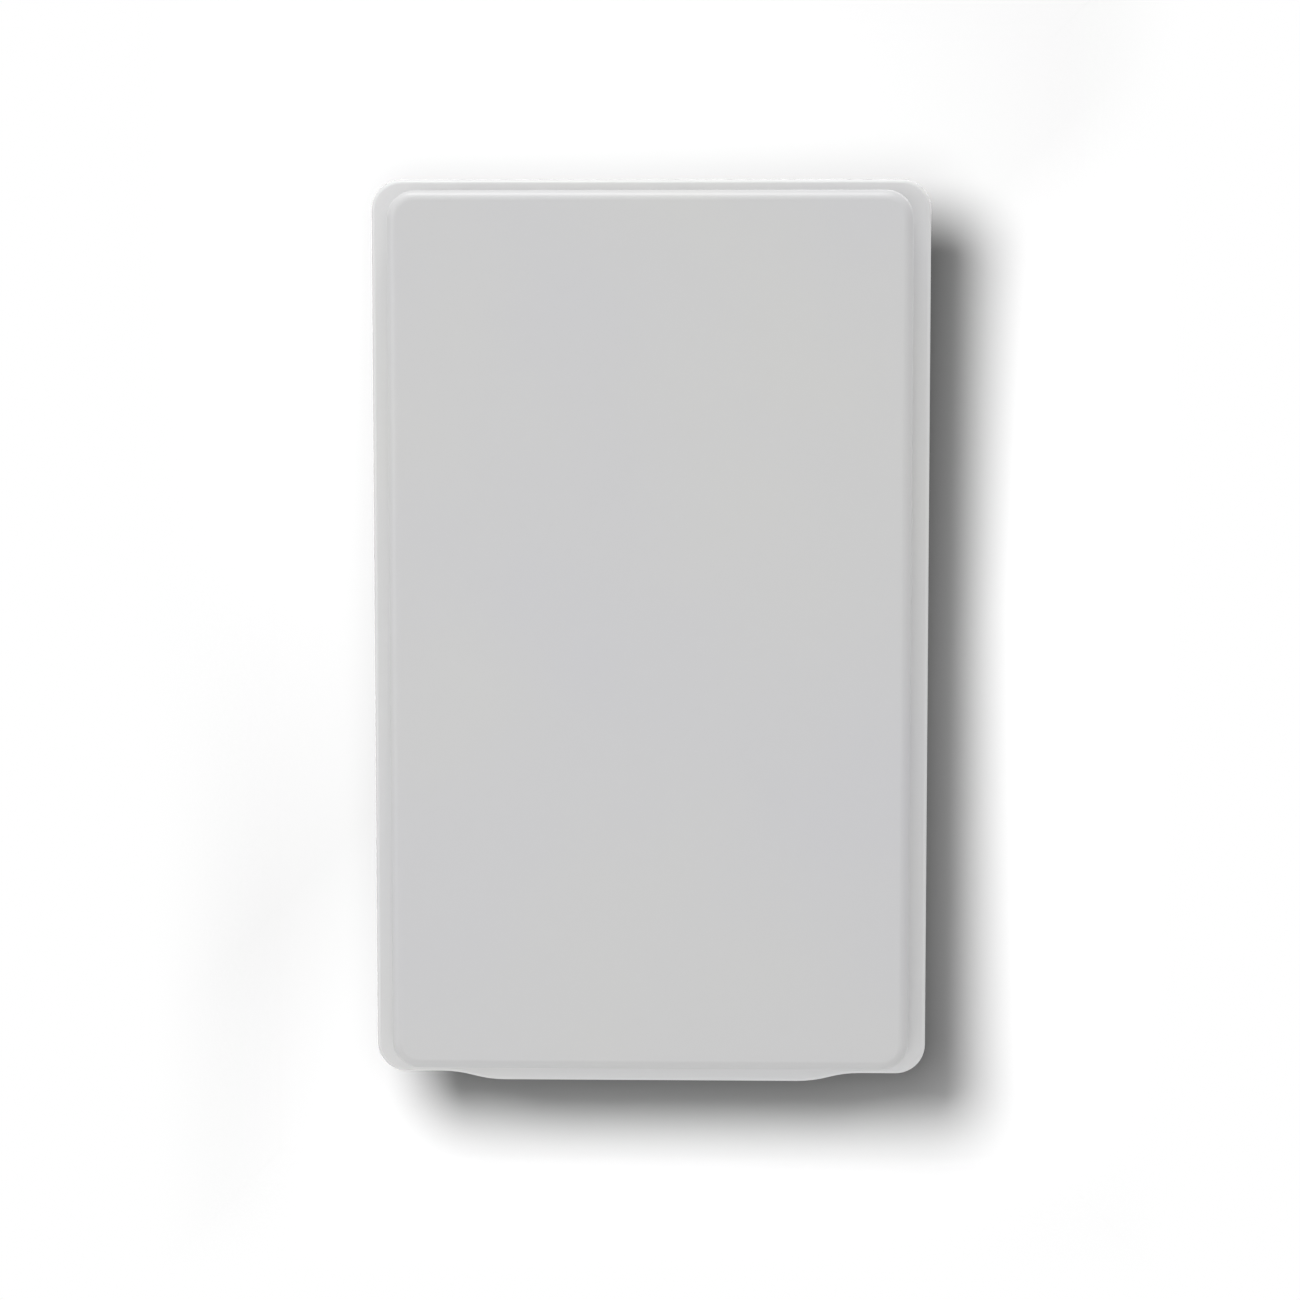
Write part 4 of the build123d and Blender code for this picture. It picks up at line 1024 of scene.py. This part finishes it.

# %% [markdown]
# ## Light
#
# A pale even sky gives most of the light, so that a grey renders as that grey from any side.  A large
# softbox below and behind the camera lifts the front, a long one overhead draws the bright line along
# the top edge, one at each side lights the rounded sides, the left one more, and one behind keeps the
# bracket side as clear as the front.  The card has two lamps of its own, linked to it alone.  One
# stands high on the left and throws the antenna's soft shadow down and to the right, and a weaker one
# near the middle gives the faint halo round the other edges, which the card's painted shade at the
# upper left deepens.  Light linking also leaves the card out of the softboxes that would wash the
# shadow away.

# %% World
SKY = 0.64  # its strength as a light, while looked at or reflected it is 1
world = bpy.data.worlds.new("pale_sky")
world.use_nodes = True
world.node_tree.nodes.clear()
tree = world.node_tree
path = add(tree, "LightPath").outputs
seen = add(tree, "Math", {0: path["Is Camera Ray"], 1: path["Is Glossy Ray"]}, operation="MAXIMUM")
seen = add(tree, "Math", {0: seen.outputs[0], 1: path["Is Transmission Ray"]}, operation="MAXIMUM")
strength = add(tree, "MapRange", {"Value": seen.outputs[0], "To Min": SKY, "To Max": 1.0})
sky = add(tree, "Background", {"Color": linear("#ffffff"), "Strength": strength.outputs[0]})
add(tree, "OutputWorld", {"Surface": sky.outputs[0]})
bpy.context.scene.world = world


# %% Lamp helpers
def lamp(name, place, aim, size, watts, shape="RECTANGLE"):
    """An area lamp at a place, aimed at a point."""
    made = bpy.data.lights.new(name, "AREA")
    made.shape = shape
    made.size = size[0]
    made.size_y = size[1]
    made.energy = watts
    obj = bpy.data.objects.new(name, made)
    bpy.context.scene.collection.objects.link(obj)
    place, aim = Vector(place), Vector(aim)
    turn = (aim - place).to_track_quat("-Z", "Y").to_matrix().to_4x4()
    obj.matrix_world = Matrix.Translation(place) @ turn
    return obj


def only_lights(obj, target, state):
    """Links a lamp to one object alone (INCLUDE), or to everything but that object (EXCLUDE)."""
    linked = bpy.data.collections.new(obj.name + "_targets")
    linked.objects.link(target)
    linked.collection_objects[0].light_linking.link_state = state
    obj.light_linking.receiver_collection = linked


# %% Softboxes
middle = Vector((0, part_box("radome")[0][1], 0))
SOFTBOXES = (  # name, place and size in metres, watts
    ("softbox_front", (-0.12, -1.35, -0.35), (0.7, 0.7), 2.5),
    ("softbox_left", (-1.1, -0.75, 0.05), (0.6, 0.6), 2.9),
    ("softbox_right", (1.1, -0.7, -0.1), (0.6, 0.6), 1.0),
    ("softbox_behind", (0.5, 1.4, 0.5), (0.8, 0.8), 7.0),
)
for name, place, size, watts in SOFTBOXES:
    only_lights(lamp(name, place, middle, size, watts), card, "EXCLUDE")
lamp("softbox_above", (-0.10, -0.25, 0.9), middle, (0.7, 0.25), 4.4)

# %% Lamps of the card
CARD_LAMPS = (  # name, place and size in metres, watts
    ("card_lamp", (-0.090, -0.6975, 0.148), 0.160, 40.0),
    ("card_halo_lamp", (-0.01, -0.6975, 0.06), 0.16, 11.0),
)
for name, place, size, watts in CARD_LAMPS:
    card_lamp = lamp(name, place, (0, 0, 0), (size, size), watts, "DISK")
    card_lamp.visible_camera = False
    only_lights(card_lamp, card, "INCLUDE")
